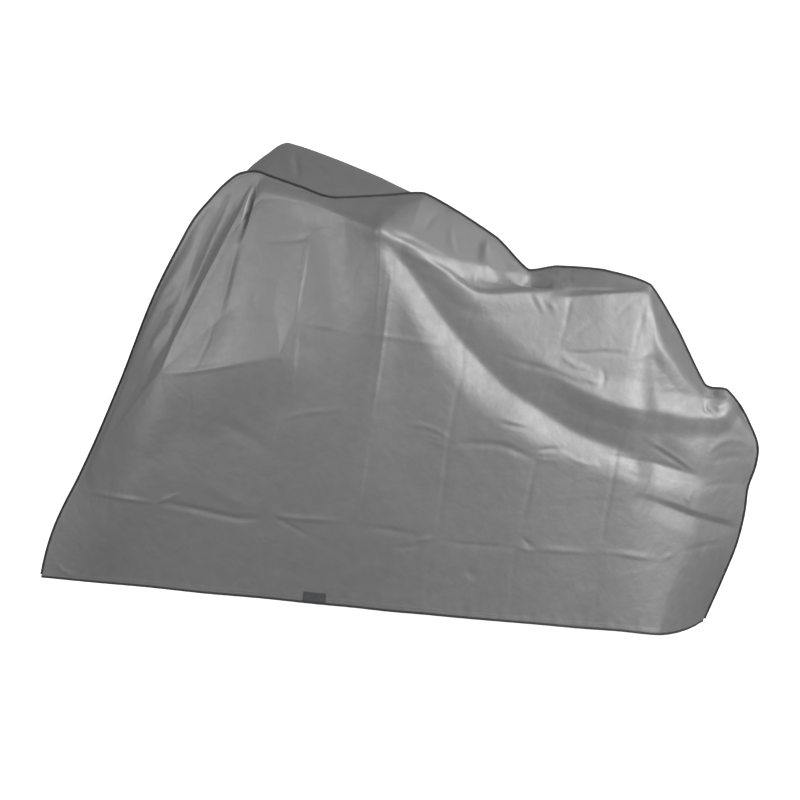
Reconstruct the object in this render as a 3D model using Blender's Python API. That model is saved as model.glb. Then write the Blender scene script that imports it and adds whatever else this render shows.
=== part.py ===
"""Bicycle cover: two side panels of thin silver-grey sheeting, joined by a bound centre seam.

The cover hangs open at the bottom. It is drawn up to two peaks at the front, a left and a right
one, falls to a rounded hump, then drops to a short ledge and the rear edge.

Lengths are metres. X runs to the rear and Z up. In the tables, "out" is the distance from the
centre plane, to the left (-Y) in LEFT_ and to the right (+Y) in RIGHT_ tables, and heights are
above the ground. The finished part's origin is the point under the roof that carries it.
"""

from collections import namedtuple

import bmesh
import bpy
import numpy as np

# Driving dimensions
CARRY_POINT = (-0.155, 0.0, 1.128)  # under the roof, above the ground
CLOTH = 0.0020  # thickness of the sheeting
SEAM_GAP = 0.0005  # between the two panels' seam edges
BROW_AT = 0.14  # share of a section's girth that lies above its brow
ROOF_ROWS = 6  # rows of faces from the seam to just below the brow
WALL_ROWS = {-1: 24, 1: 15}  # rows of faces from there to the hem, left and right
COLUMN_PITCH = 0.030  # widest column of faces along the hem
FOLD_STEP = 0.02  # between the points that a fold's line is read at
DEEPEST_TROUGH = 0.6  # share of the way in to the seam's line that a trough may reach
ROOF_SOFTNESS = 0.45  # 0 gives flat facets between sections, 1 a round sweep
WALL_SOFTNESS = 1.0
BINDING_WIDTH = 0.0032
BINDING_HEIGHT = 0.0055
SEAM_BINDING_LIFT = 0.0008  # clears the panels where they rise from the seam
HEM_BINDING_LIFT = 0.0003
SEAM_BINDING_TRIM = 0.006  # keeps its ends off the hem binding
TAB_WIDTH = 0.056
TAB_HEIGHT = 0.025
TAB_THICKNESS = 0.0012
TAB_X = -0.204  # middle of the tab along the left hem
TAB_ABOVE_HEM = 0.002
TAB_GAP = 0.0004
LEFT = -1
RIGHT = 1

# The centre seam down the front, from the crown to the hem: x, z
FRONT_SEAM = [
    (-0.357, 1.174), (-0.392, 1.168), (-0.428, 1.143), (-0.469, 1.101), (-0.502, 1.064),
    (-0.548, 0.989), (-0.602, 0.890), (-0.715, 0.630), (-0.802, 0.442), (-0.843, 0.362),
    (-0.872, 0.310), (-0.908, 0.235), (-0.937, 0.150), (-0.948, 0.105),
]
# The centre seam down the rear, from the ledge to the hem: x, z
REAR_SEAM = [
    (0.853, 0.596), (0.875, 0.555), (0.902, 0.482), (0.899, 0.445), (0.882, 0.381),
    (0.878, 0.322), (0.861, 0.227), (0.834, 0.144), (0.789, 0.019),
]

# Each section is a line of the cloth from the seam over the brow to the hem.
# seam, brow and hem are (x, out, z); upper and lower are "out" at a third and two thirds of the
# wall; round is how softly the brow turns.
Section = namedtuple("Section", "name seam brow upper lower hem round")

LEFT_SECTIONS = [
    Section("front_edge", (-0.357, 0.000, 1.174), (-0.526, 0.000, 1.026), 0.000, 0.000, (-0.948, 0.000, 0.105), 0.02),
    Section("front_wrap", (-0.350, 0.000, 1.173), (-0.470, 0.045, 0.970), 0.120, 0.120, (-0.799, 0.060, 0.118), 0.03),
    Section("pleat", (-0.341, 0.000, 1.171), (-0.400, 0.055, 1.040), 0.150, 0.160, (-0.633, 0.120, 0.131), 0.03),
    Section("knot", (-0.325, 0.004, 1.165), (-0.331, 0.045, 1.125), 0.175, 0.185, (-0.485, 0.160, 0.134), 0.03),
    Section("roof_front", (-0.241, 0.040, 1.142), (-0.228, 0.070, 1.112), 0.190, 0.205, (-0.336, 0.190, 0.136), 0.015),
    Section("roof_dip", (-0.155, 0.060, 1.118), (-0.121, 0.125, 1.082), 0.200, 0.215, (-0.188, 0.210, 0.131), 0.015),
    Section("left_peak", (-0.036, 0.020, 1.119), (-0.038, 0.200, 1.068), 0.210, 0.220, (-0.108, 0.220, 0.129), 0.02),
    Section("roof_end", (0.059, 0.000, 1.122), (0.023, 0.185, 1.044), 0.200, 0.220, (-0.013, 0.230, 0.124), 0.03),
    Section("slope", (0.147, 0.000, 1.074), (0.104, 0.165, 0.980), 0.200, 0.220, (0.074, 0.235, 0.120), 0.03),
    Section("shelf", (0.236, 0.000, 1.015), (0.192, 0.155, 0.911), 0.200, 0.220, (0.148, 0.235, 0.114), 0.03),
    Section("dip", (0.316, 0.020, 0.938), (0.318, 0.120, 0.911), 0.195, 0.215, (0.259, 0.230, 0.104), 0.03),
    Section("hump_front", (0.385, 0.000, 0.944), (0.417, 0.106, 0.906), 0.180, 0.205, (0.345, 0.220, 0.094), 0.04),
    Section("hump", (0.503, 0.000, 0.936), (0.516, 0.094, 0.906), 0.165, 0.185, (0.458, 0.200, 0.077), 0.04),
    Section("hump_back", (0.617, 0.000, 0.900), (0.604, 0.080, 0.898), 0.145, 0.165, (0.558, 0.185, 0.065), 0.04),
    Section("drop", (0.685, 0.000, 0.794), (0.648, 0.100, 0.770), 0.110, 0.140, (0.635, 0.165, 0.050), 0.05),
    Section("ledge", (0.761, 0.000, 0.649), (0.751, 0.060, 0.642), 0.090, 0.110, (0.695, 0.120, 0.034), 0.05),
    Section("ledge_end", (0.816, 0.000, 0.637), (0.814, 0.050, 0.630), 0.060, 0.070, (0.748, 0.060, 0.024), 0.05),
    Section("rear_edge", (0.853, 0.000, 0.596), (0.902, 0.000, 0.482), 0.000, 0.000, (0.789, 0.000, 0.019), 0.05),
]

RIGHT_SECTIONS = [
    Section("front_edge", (-0.357, 0.000, 1.174), (-0.526, 0.000, 1.026), 0.000, 0.000, (-0.948, 0.000, 0.105), 0.02),
    Section("front_wrap", (-0.350, 0.000, 1.173), (-0.470, 0.040, 1.030), 0.120, 0.120, (-0.799, 0.060, 0.118), 0.03),
    Section("pleat", (-0.341, 0.000, 1.171), (-0.400, 0.110, 1.172), 0.150, 0.150, (-0.633, 0.120, 0.131), 0.03),
    Section("knot", (-0.325, -0.004, 1.165), (-0.355, 0.190, 1.215), 0.200, 0.190, (-0.485, 0.160, 0.134), 0.03),
    Section("right_peak", (-0.241, -0.040, 1.142), (-0.305, 0.235, 1.242), 0.230, 0.210, (-0.336, 0.190, 0.136), 0.02),
    Section("roof_dip", (-0.155, -0.060, 1.118), (-0.147, 0.150, 1.200), 0.210, 0.210, (-0.188, 0.210, 0.131), 0.02),
    Section("roof_back", (-0.036, -0.020, 1.119), (-0.049, 0.083, 1.163), 0.180, 0.200, (-0.108, 0.220, 0.129), 0.02),
    Section("roof_end", (0.059, 0.000, 1.122), (0.055, 0.040, 1.107), 0.170, 0.200, (-0.013, 0.230, 0.124), 0.03),
    Section("slope", (0.147, 0.000, 1.074), (0.104, 0.080, 1.000), 0.170, 0.200, (0.074, 0.235, 0.120), 0.03),
    Section("shelf", (0.236, 0.000, 1.015), (0.192, 0.100, 0.911), 0.170, 0.200, (0.148, 0.235, 0.114), 0.03),
    Section("dip", (0.316, -0.020, 0.938), (0.318, 0.120, 0.900), 0.170, 0.200, (0.259, 0.230, 0.104), 0.03),
    Section("hump_front", (0.385, 0.000, 0.944), (0.417, 0.100, 0.905), 0.150, 0.190, (0.345, 0.220, 0.094), 0.04),
    Section("hump", (0.503, 0.000, 0.936), (0.516, 0.100, 0.905), 0.140, 0.180, (0.458, 0.200, 0.077), 0.04),
    Section("hump_back", (0.617, 0.000, 0.900), (0.604, 0.080, 0.890), 0.130, 0.160, (0.558, 0.185, 0.065), 0.04),
    Section("drop", (0.685, 0.000, 0.794), (0.671, 0.060, 0.777), 0.110, 0.140, (0.635, 0.165, 0.050), 0.05),
    Section("ledge", (0.761, 0.000, 0.649), (0.751, 0.060, 0.642), 0.090, 0.110, (0.695, 0.120, 0.034), 0.05),
    Section("ledge_end", (0.816, 0.000, 0.637), (0.814, 0.050, 0.630), 0.060, 0.070, (0.748, 0.060, 0.024), 0.05),
    Section("rear_edge", (0.853, 0.000, 0.596), (0.902, 0.000, 0.482), 0.000, 0.000, (0.789, 0.000, 0.019), 0.05),
]

# A fold is a crest, or a trough where its height is negative, along a row of stations. Each station
# is (x, z, height, left, right): its place as seen square from the side, how far the crest stands
# out there, and the fold's width on the left and right hand of someone who walks along it. crest is
# how softly its top is rounded, and foot how softly its sides run out, 0 to 1. Folds that share a
# group run into each other: the highest shows.
Fold = namedtuple("Fold", "name group crest foot stations")

LEFT_FOLDS = [
    Fold("long valley", "", 0.008, 0.50, [
        (-0.025, 1.040, -0.004, 0.036, 0.026), (0.040, 0.955, -0.011, 0.060, 0.046),
        (0.095, 0.875, -0.016, 0.075, 0.062), (0.150, 0.805, -0.019, 0.085, 0.075),
        (0.205, 0.745, -0.021, 0.092, 0.080), (0.265, 0.685, -0.022, 0.098, 0.080),
        (0.340, 0.635, -0.021, 0.100, 0.076), (0.420, 0.580, -0.019, 0.100, 0.072),
        (0.540, 0.525, -0.016, 0.090, 0.064), (0.655, 0.470, -0.010, 0.070, 0.054),
        (0.750, 0.430, -0.004, 0.050, 0.046),
    ]),
    Fold("pleat ridge", "front", 0.002, 0.15, [
        (-0.365, 1.130, 0.002, 0.060, 0.020), (-0.385, 1.085, 0.006, 0.070, 0.026),
        (-0.410, 1.030, 0.008, 0.080, 0.030), (-0.450, 0.945, 0.012, 0.090, 0.036),
        (-0.500, 0.850, 0.017, 0.095, 0.042), (-0.535, 0.775, 0.021, 0.095, 0.046),
        (-0.565, 0.695, 0.025, 0.100, 0.050),
    ]),
    Fold("pocket ridge", "front", 0.002, 0.30, [
        (-0.565, 0.695, 0.025, 0.150, 0.170), (-0.480, 0.710, 0.024, 0.150, 0.170),
        (-0.390, 0.735, 0.020, 0.140, 0.160), (-0.285, 0.760, 0.015, 0.110, 0.130),
    ]),
    Fold("front ridge", "front", 0.003, 0.20, [
        (-0.565, 0.695, 0.025, 0.120, 0.050), (-0.615, 0.640, 0.022, 0.120, 0.046),
        (-0.675, 0.565, 0.018, 0.110, 0.042), (-0.735, 0.490, 0.012, 0.090, 0.038),
        (-0.790, 0.420, 0.005, 0.070, 0.030),
    ]),
    Fold("crease A ridge", "front", 0.002, 0.15, [
        (-0.215, 1.025, 0.003, 0.050, 0.024), (-0.225, 0.965, 0.006, 0.070, 0.040),
        (-0.235, 0.910, 0.009, 0.080, 0.054), (-0.240, 0.845, 0.012, 0.090, 0.062),
        (-0.260, 0.800, 0.013, 0.080, 0.052), (-0.280, 0.755, 0.015, 0.080, 0.034),
    ]),
    Fold("front trough", "", 0.003, 0.15, [
        (-0.420, 1.105, -0.004, 0.020, 0.012), (-0.435, 1.070, -0.007, 0.028, 0.014),
        (-0.465, 1.010, -0.009, 0.030, 0.016), (-0.500, 0.925, -0.010, 0.032, 0.016),
        (-0.525, 0.855, -0.010, 0.034, 0.018), (-0.560, 0.780, -0.009, 0.034, 0.020),
        (-0.595, 0.715, -0.009, 0.034, 0.024), (-0.630, 0.645, -0.008, 0.032, 0.026),
        (-0.675, 0.580, -0.006, 0.028, 0.024), (-0.745, 0.480, -0.002, 0.024, 0.020),
    ]),
    Fold("front strip", "", 0.005, 0.30, [
        (-0.470, 1.070, 0.003, 0.020, 0.028), (-0.520, 0.970, 0.005, 0.024, 0.030),
        (-0.600, 0.855, 0.006, 0.026, 0.030), (-0.650, 0.730, 0.007, 0.028, 0.028),
        (-0.705, 0.600, 0.006, 0.024, 0.024), (-0.765, 0.470, 0.002, 0.020, 0.020),
    ]),
    Fold("roof brow", "", 0.002, 0.20, [
        (-0.335, 1.130, 0.001, 0.030, 0.030), (-0.240, 1.110, 0.003, 0.036, 0.040),
        (-0.125, 1.080, 0.004, 0.036, 0.040), (-0.045, 1.060, 0.003, 0.034, 0.030),
    ]),
    Fold("peak edge", "", 0.002, 0.20, [
        (-0.040, 1.060, 0.004, 0.034, 0.050), (0.000, 1.090, 0.007, 0.044, 0.060),
        (0.060, 1.115, 0.005, 0.040, 0.050),
    ]),
    Fold("upper edge", "", 0.002, 0.20, [
        (-0.030, 1.060, 0.003, 0.046, 0.018), (0.050, 1.020, 0.008, 0.050, 0.034),
        (0.130, 0.980, 0.011, 0.056, 0.036), (0.195, 0.960, 0.010, 0.050, 0.022),
        (0.230, 0.945, 0.007, 0.040, 0.014),
    ]),
    Fold("shelf edge", "", 0.002, 0.20, [
        (-0.035, 1.055, 0.003, 0.012, 0.024), (0.025, 1.020, 0.005, 0.012, 0.034),
        (0.115, 0.955, 0.007, 0.012, 0.040), (0.190, 0.905, 0.008, 0.012, 0.046),
        (0.295, 0.900, 0.007, 0.016, 0.050), (0.390, 0.900, 0.004, 0.014, 0.040),
    ]),
    Fold("dip hollow", "", 0.002, 0.30, [
        (0.260, 0.935, -0.004, 0.010, 0.010), (0.285, 0.930, -0.016, 0.012, 0.012),
        (0.320, 0.925, -0.026, 0.013, 0.013), (0.365, 0.915, -0.008, 0.010, 0.010),
    ]),
    Fold("slope end", "", 0.003, 0.30, [
        (0.220, 1.015, 0.005, 0.046, 0.012), (0.205, 0.990, 0.007, 0.050, 0.014),
        (0.210, 0.955, 0.006, 0.046, 0.014),
    ]),
    Fold("hump edge", "", 0.002, 0.20, [
        (0.390, 0.885, 0.003, 0.014, 0.044), (0.490, 0.890, 0.006, 0.016, 0.060),
        (0.605, 0.895, 0.005, 0.014, 0.050),
    ]),
    Fold("rear brow", "", 0.002, 0.20, [
        (0.610, 0.895, 0.002, 0.040, 0.030), (0.620, 0.835, 0.004, 0.044, 0.030),
        (0.630, 0.770, 0.006, 0.046, 0.030), (0.665, 0.730, 0.006, 0.046, 0.030),
        (0.705, 0.675, 0.004, 0.040, 0.026), (0.755, 0.635, 0.002, 0.030, 0.024),
    ]),
    Fold("lobe ridge", "", 0.004, 0.25, [
        (0.355, 0.735, 0.003, 0.050, 0.036), (0.430, 0.685, 0.007, 0.056, 0.044),
        (0.505, 0.650, 0.009, 0.060, 0.050), (0.570, 0.630, 0.010, 0.060, 0.052),
        (0.655, 0.605, 0.010, 0.056, 0.054), (0.745, 0.585, 0.010, 0.050, 0.050),
        (0.800, 0.585, 0.009, 0.040, 0.044), (0.830, 0.615, 0.004, 0.030, 0.030),
    ]),
    Fold("rear fold", "", 0.003, 0.30, [
        (0.600, 0.400, -0.002, 0.012, 0.034), (0.705, 0.350, -0.006, 0.014, 0.046),
        (0.850, 0.280, -0.005, 0.014, 0.046),
    ]),
    Fold("rear corner", "", 0.004, 0.40, [
        (0.725, 0.255, 0.001, 0.044, 0.044), (0.710, 0.225, 0.002, 0.046, 0.046),
        (0.680, 0.145, 0.004, 0.050, 0.050), (0.660, 0.050, 0.005, 0.050, 0.050),
    ]),
]

RIGHT_FOLDS = [
    Fold("long valley", "", 0.0120, 0.40, [
        (-0.230, 1.080, -0.008, 0.060, 0.070), (-0.080, 0.900, -0.028, 0.070, 0.090),
        (0.150, 0.735, -0.035, 0.070, 0.095), (0.350, 0.600, -0.030, 0.065, 0.090),
        (0.620, 0.470, -0.010, 0.060, 0.080),
    ]),
    Fold("peak ridge", "front", 0.0080, 0.30, [
        (-0.370, 1.060, 0.004, 0.060, 0.060), (-0.520, 0.780, 0.022, 0.080, 0.100),
        (-0.740, 0.450, 0.012, 0.080, 0.090),
    ]),
    Fold("hump fold", "", 0.0060, 0.30, [
        (0.600, 0.880, 0.006, 0.060, 0.070), (0.480, 0.620, 0.014, 0.070, 0.080),
        (0.300, 0.300, 0.006, 0.080, 0.080),
    ]),
]

# Finishes: base colour, metallic, roughness
SHEETING = ("silver_grey_sheeting", (0.36, 0.36, 0.36), 0.8, 0.6)
TAPE = ("dark_grey_tape", (0.045, 0.046, 0.048), 0.0, 0.60)
WOVEN = ("charcoal_woven", (0.060, 0.062, 0.066), 0.0, 0.80)


def clear_scene():
    for obj in list(bpy.data.objects):
        bpy.data.objects.remove(obj)


def finish(name, colour, metallic, roughness):
    material = bpy.data.materials.new(name)
    material.use_nodes = True
    shader = material.node_tree.nodes["Principled BSDF"]
    shader.inputs["Base Color"].default_value = (*colour, 1.0)
    shader.inputs["Metallic"].default_value = metallic
    shader.inputs["Roughness"].default_value = roughness
    return material


def soft_curve(points, at, where, softness):
    """Reads a curve through points, set at the parameters `at`, at the parameters `where`."""
    points, at = np.asarray(points, float), np.asarray(at, float)
    spread = (-1,) + (1,) * (points.ndim - 1)
    step = np.diff(at)
    slope = np.diff(points, axis=0) / step.reshape(spread)
    weight = (step[1:] / (step[1:] + step[:-1])).reshape(spread)
    tangent = np.concatenate([slope[:1], weight * slope[:-1] + (1 - weight) * slope[1:], slope[-1:]])
    i = np.clip(np.searchsorted(at, where, side="right") - 1, 0, len(at) - 2)
    span = step[i].reshape(spread)
    t = ((where - at[i]) / step[i]).reshape(spread)
    straight = points[i] * (1 - t) + points[i + 1] * t
    bend = t * (1 - t) * span * ((1 - t) * (tangent[i] - slope[i]) - t * (tangent[i + 1] - slope[i]))
    return straight + softness * bend


def read_path(points, where):
    """Points at the shares `where` of a path's length."""
    points = np.asarray(points, float)
    length = np.concatenate([[0], np.cumsum(np.linalg.norm(np.diff(points, axis=0), axis=1))])
    return soft_curve(points, length / length[-1], where, WALL_SOFTNESS)


def seam_edge(points, rows):
    path = read_path(points, rows)
    return np.stack([path[:, 0], np.zeros(len(rows)), path[:, 1]], axis=1)


def ramp(s, low, high, softness):
    """0 up to s = 0 and then s, with a soft corner, exact at both ends."""
    def raw(x):
        return 0.5 * (x + np.sqrt(x * x + softness * softness))

    share = (s - low) / (high - low)
    return raw(s) - raw(low) * (1 - share) + (high - raw(high)) * share


def section_line(section, rows):
    """The section's points at the shares `rows` of its girth, from seam to hem."""
    seam, brow, hem = (np.array(point) for point in (section.seam, section.brow, section.hem))
    above, below = BROW_AT, 1 - BROW_AT
    down = ramp(rows - BROW_AT, -above, below, section.round)
    up = ramp(BROW_AT - rows, -below, above, section.round)
    line = brow + np.outer(down / below, hem - brow) + np.outer(up / above, seam - brow)
    wall = np.clip((rows - BROW_AT) / below, 0, 1)
    stations = np.array([brow[1], section.upper, section.lower, hem[1]])
    bowed = soft_curve(stations, np.linspace(0, 1, 4), wall, WALL_SOFTNESS)
    line[:, 1] += bowed - (brow[1] + (hem[1] - brow[1]) * wall)
    return line


def section_places():
    """Where the sections lie along the cover, from 0 at the front to 1, the same on both sides."""
    hem = np.array([section.hem for section in LEFT_SECTIONS])
    walk = np.concatenate([[0], np.cumsum(np.linalg.norm(np.diff(hem, axis=0), axis=1))])
    return walk / walk[-1], walk


def column_places():
    places, walk = section_places()
    columns = [places[0]]
    for start, end, length in zip(places, places[1:], np.diff(walk)):
        count = int(np.ceil(length / COLUMN_PITCH))
        columns.extend(np.linspace(start, end, count + 1)[1:])
    return np.array(columns)


def row_places(side):
    roof = np.linspace(0, 1.2 * BROW_AT, ROOF_ROWS + 1)
    wall = np.linspace(1.2 * BROW_AT, 1, WALL_ROWS[side] + 1)
    return np.concatenate([roof, wall[1:]])


def smooth_step(x):
    x = np.clip(x, 0, 1)
    return x * x * (3 - 2 * x)


def round_off(stations):
    """The stations of a fold read along a smooth line, close together."""
    stations = np.array(stations, float)
    walk = np.concatenate([[0], np.cumsum(np.hypot(*np.diff(stations[:, :2], axis=0).T))])
    count = max(2, int(walk[-1] / FOLD_STEP) + 1)
    line = soft_curve(stations[:, :2], walk, np.linspace(0, walk[-1], count), WALL_SOFTNESS)
    sizes = [np.interp(np.linspace(0, walk[-1], count), walk, stations[:, k]) for k in (2, 3, 4)]
    return np.column_stack([line, *sizes])


def fold_height(x, z, fold):
    """How far a fold lifts the cloth at each point: a tent with a rounded crest and a soft foot."""
    stations = round_off(fold.stations)
    reach = stations[:, 3:].max()
    low, high = stations[:, :2].min(axis=0) - reach, stations[:, :2].max(axis=0) + reach
    lift = np.zeros(x.shape)
    near = (x > low[0]) & (x < high[0]) & (z > low[1]) & (z < high[1])
    px, pz = x[near], z[near]
    distance, height, width = np.full(px.shape, np.inf), np.zeros(px.shape), np.ones(px.shape)
    last = len(stations) - 2
    for k, (start, end) in enumerate(zip(stations, stations[1:])):
        length = np.hypot(*(end - start)[:2])
        dx, dz = (end - start)[:2] / length
        along = (px - start[0]) * dx + (pz - start[1]) * dz
        share = np.clip(along / length, 0, 1)
        off_x = px - start[0] - share * length * dx
        off_z = pz - start[1] - share * length * dz
        away = np.maximum(np.hypot(off_x, off_z), 1e-9)
        left_hand = (dx * off_z - dz * off_x) / away
        past_end = ((k == 0) & (along < 0)) | ((k == last) & (along > length))
        left_hand = np.where(past_end, left_hand, np.sign(left_hand))
        here = start + share[:, None] * (end - start)
        closer = away < distance
        distance = np.where(closer, away, distance)
        height = np.where(closer, here[:, 2], height)
        mixed = 0.5 * (here[:, 3] * (1 + left_hand) + here[:, 4] * (1 - left_hand))
        width = np.where(closer, mixed, width)
    rounded = np.sqrt(distance**2 + fold.crest**2) - fold.crest
    rise = np.clip(1 - rounded / width, 0, 1)
    lift[near] = height * rise**2 / (rise + fold.foot * (1 - rise) + 1e-9)
    return lift


def all_folds(x, z, folds):
    total, groups = np.zeros(x.shape), {}
    for fold in folds:
        height = fold_height(x, z, fold)
        if fold.group:
            groups[fold.group] = np.maximum(groups.get(fold.group, height), height)
        else:
            total += height
    return total + sum(groups.values())


def outward(grid, side):
    """Unit normals of a grid of points, turned away from the inside of the cover."""
    normal = np.cross(np.gradient(grid, axis=0), np.gradient(grid, axis=1))
    return normal * side / np.maximum(np.linalg.norm(normal, axis=2, keepdims=True), 1e-12)


def panel_grid(sections, folds, side, columns, rows):
    """The outer face of a side panel as a grid of points: columns along it, rows from seam to hem."""
    lines = np.array([section_line(section, rows) for section in sections])
    lines[0] = seam_edge(FRONT_SEAM, rows)
    lines[-1] = seam_edge(REAR_SEAM, rows)
    places, _ = section_places()
    roof = soft_curve(lines, places, columns, ROOF_SOFTNESS)
    wall = soft_curve(lines, places, columns, WALL_SOFTNESS)
    share = smooth_step((rows - 0.5 * BROW_AT) / (2 * BROW_AT))[None, :, None]
    grid = (roof * (1 - share) + wall * share) * (1, side, 1)
    height = all_folds(grid[..., 0], grid[..., 2], folds)
    height *= smooth_step(rows / 0.05)[None, :]
    height *= smooth_step(np.minimum(columns, 1 - columns) / 0.02)[:, None]
    room = np.abs(grid[..., 1] - grid[:, :1, 1])
    height = np.maximum(height, -DEEPEST_TROUGH * room)
    return grid + outward(grid, side) * height[..., None]


def seam_normals(path):
    """Directions square to a path in the centre plane, away from the inside of the cover."""
    along = np.gradient(path, axis=0)
    normal = np.stack([-along[:, 2], np.zeros(len(path)), along[:, 0]], axis=1)
    return normal / np.linalg.norm(normal, axis=1, keepdims=True)


def seam_path(grid):
    """The whole centre seam, from the front hem corner over the top to the rear hem corner."""
    return np.concatenate([grid[0, ::-1], grid[1:-1, 0], grid[-1, :]])


def panel_solid(name, grid, side, material):
    """A closed sheet of cloth under the grid of its outer face."""
    outer = grid.copy()
    normal = outward(grid, side)
    path_normals = seam_normals(seam_path(grid))
    last_column, last_row = len(grid) - 1, grid.shape[1] - 1
    normal[0] = path_normals[: last_row + 1][::-1]
    normal[1:-1, 0] = path_normals[last_row + 1 : last_row + last_column]
    normal[-1] = path_normals[last_row + last_column :]
    level = normal[:, -1] * (1, 1, 0)
    normal[:, -1] = level / np.linalg.norm(level, axis=1, keepdims=True)
    for edge in (outer[0], outer[1:-1, 0], outer[-1]):
        edge[:, 1] += side * SEAM_GAP / 2
    inner = outer - CLOTH * normal
    room = np.maximum(side * (outer[..., 1] - outer[:, :1, 1]), 0)
    inward = np.minimum(CLOTH * side * normal[..., 1], room / 2)
    inner[..., 1] = outer[..., 1] - side * inward
    return add_slab(name, outer, inner, side, material)


def add_slab(name, outer, inner, side, material):
    """A closed mesh between two grids of points, one under the other."""
    mesh = bmesh.new()
    layers = []
    for layer in (outer, inner):
        layers.append([[mesh.verts.new(point - CARRY_POINT) for point in column] for column in layer])
    top, bottom = layers
    columns, rows = len(top), len(top[0])
    faces = []
    for i in range(columns - 1):
        for j in range(rows - 1):
            faces.append((top[i][j], top[i][j + 1], top[i + 1][j + 1], top[i + 1][j]))
            faces.append((bottom[i][j], bottom[i + 1][j], bottom[i + 1][j + 1], bottom[i][j + 1]))
    rim = [(i, 0) for i in range(columns - 1)] + [(columns - 1, j) for j in range(rows - 1)]
    rim += [(i, rows - 1) for i in range(columns - 1, 0, -1)] + [(0, j) for j in range(rows - 1, 0, -1)]
    for (i, j), (k, l) in zip(rim, rim[1:] + rim[:1]):
        faces.append((top[i][j], top[k][l], bottom[k][l], bottom[i][j]))
    for face in faces:
        mesh.faces.new(face if side == LEFT else face[::-1])
    return add_object(name, mesh, material)


def add_strip(name, path, across, up, width, height, closed, material):
    """A rectangular strip along a path: `across` and `up` give its section's directions."""
    mesh = bmesh.new()
    rings = []
    for point, side_way, up_way in zip(path - CARRY_POINT, across, up):
        corners = [(-0.5, 0), (0.5, 0), (0.5, 1), (-0.5, 1)]
        rings.append([mesh.verts.new(point + a * width * side_way + b * height * up_way) for a, b in corners])
    pairs = list(zip(rings, rings[1:] + (rings[:1] if closed else [])))
    for here, there in pairs:
        for k in range(4):
            mesh.faces.new((here[k], here[(k + 1) % 4], there[(k + 1) % 4], there[k]))
    if not closed:
        mesh.faces.new(rings[0][::-1])
        mesh.faces.new(rings[-1])
    bmesh.ops.recalc_face_normals(mesh, faces=mesh.faces)
    return add_object(name, mesh, material)


def add_object(name, mesh, material):
    data = bpy.data.meshes.new(name)
    mesh.to_mesh(data)
    mesh.free()
    data.materials.append(material)
    data.shade_smooth()
    obj = bpy.data.objects.new(name, data)
    bpy.context.scene.collection.objects.link(obj)
    return obj


def add_seam_binding(grid, material):
    """The tape that stands along the centre seam."""
    path = seam_path(grid)
    walk = np.concatenate([[0], np.cumsum(np.linalg.norm(np.diff(path, axis=0), axis=1))])
    ends = np.array([SEAM_BINDING_TRIM, walk[-1] - SEAM_BINDING_TRIM])
    stops = np.concatenate([ends[:1], walk[(walk > ends[0]) & (walk < ends[1])], ends[1:]])
    trimmed = np.stack([np.interp(stops, walk, path[:, k]) for k in range(3)], axis=1)
    up = seam_normals(trimmed)
    across = np.tile((0.0, 1.0, 0.0), (len(trimmed), 1))
    base = trimmed + SEAM_BINDING_LIFT * up
    return add_strip("seam_binding", base, across, up, BINDING_WIDTH, BINDING_HEIGHT, False, material)


def add_hem_binding(left, right, material):
    """The tape round the bottom edge, one closed ring just under the panels' rims."""
    path = np.concatenate([left[:, -1], right[-2:0:-1, -1]])
    along = np.roll(path, -1, axis=0) - np.roll(path, 1, axis=0)
    across = np.stack([along[:, 1], -along[:, 0], np.zeros(len(path))], axis=1)
    across /= np.linalg.norm(across, axis=1, keepdims=True)
    path = path - across * CLOTH / 2
    path[:, 2] -= HEM_BINDING_LIFT
    down = np.tile((0.0, 0.0, -1.0), (len(path), 1))
    return add_strip("hem_binding", path, across, down, BINDING_WIDTH, BINDING_HEIGHT, True, material)


def read_grid(grid, i, j):
    """A point of a grid at fractional column i and row j."""
    i0, j0 = min(int(i), len(grid) - 2), min(int(j), grid.shape[1] - 2)
    a, b = i - i0, j - j0
    near = grid[i0, j0] * (1 - b) + grid[i0, j0 + 1] * b
    far = grid[i0 + 1, j0] * (1 - b) + grid[i0 + 1, j0 + 1] * b
    return near * (1 - a) + far * a


def add_tab(left, material):
    """The small woven tab sewn on the left panel just above the hem."""
    hem = left[:, -1]
    row_height = np.linalg.norm(hem - left[:, -2], axis=1).mean()
    normal = outward(left, LEFT)
    ends = np.interp([TAB_X - TAB_WIDTH / 2, TAB_X + TAB_WIDTH / 2], hem[:, 0], np.arange(len(hem)))
    columns = np.concatenate([ends[:1], np.arange(np.ceil(ends[0]), ends[1]), ends[1:]])
    top_row = len(left[0]) - 1 - (TAB_ABOVE_HEM + TAB_HEIGHT) / row_height
    low_row = len(left[0]) - 1 - TAB_ABOVE_HEM / row_height
    face = np.array([[read_grid(left, i, j) for j in (top_row, low_row)] for i in columns])
    lift = np.array([[read_grid(normal, i, j) for j in (top_row, low_row)] for i in columns])
    lift /= np.linalg.norm(lift, axis=2, keepdims=True)
    outer = face + (TAB_GAP + TAB_THICKNESS) * lift
    return add_slab("hem_tab", outer, face + TAB_GAP * lift, LEFT, material)


def main():
    clear_scene()
    sheeting, tape, woven = (finish(*look) for look in (SHEETING, TAPE, WOVEN))
    columns = column_places()
    left = panel_grid(LEFT_SECTIONS, LEFT_FOLDS, LEFT, columns, row_places(LEFT))
    right = panel_grid(RIGHT_SECTIONS, RIGHT_FOLDS, RIGHT, columns, row_places(RIGHT))
    panel_solid("panel_left", left, LEFT, sheeting)
    panel_solid("panel_right", right, RIGHT, sheeting)
    add_seam_binding(left, tape)
    add_hem_binding(left, right, tape)
    add_tab(left, woven)


if __name__ == "__main__":
    main()
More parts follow.
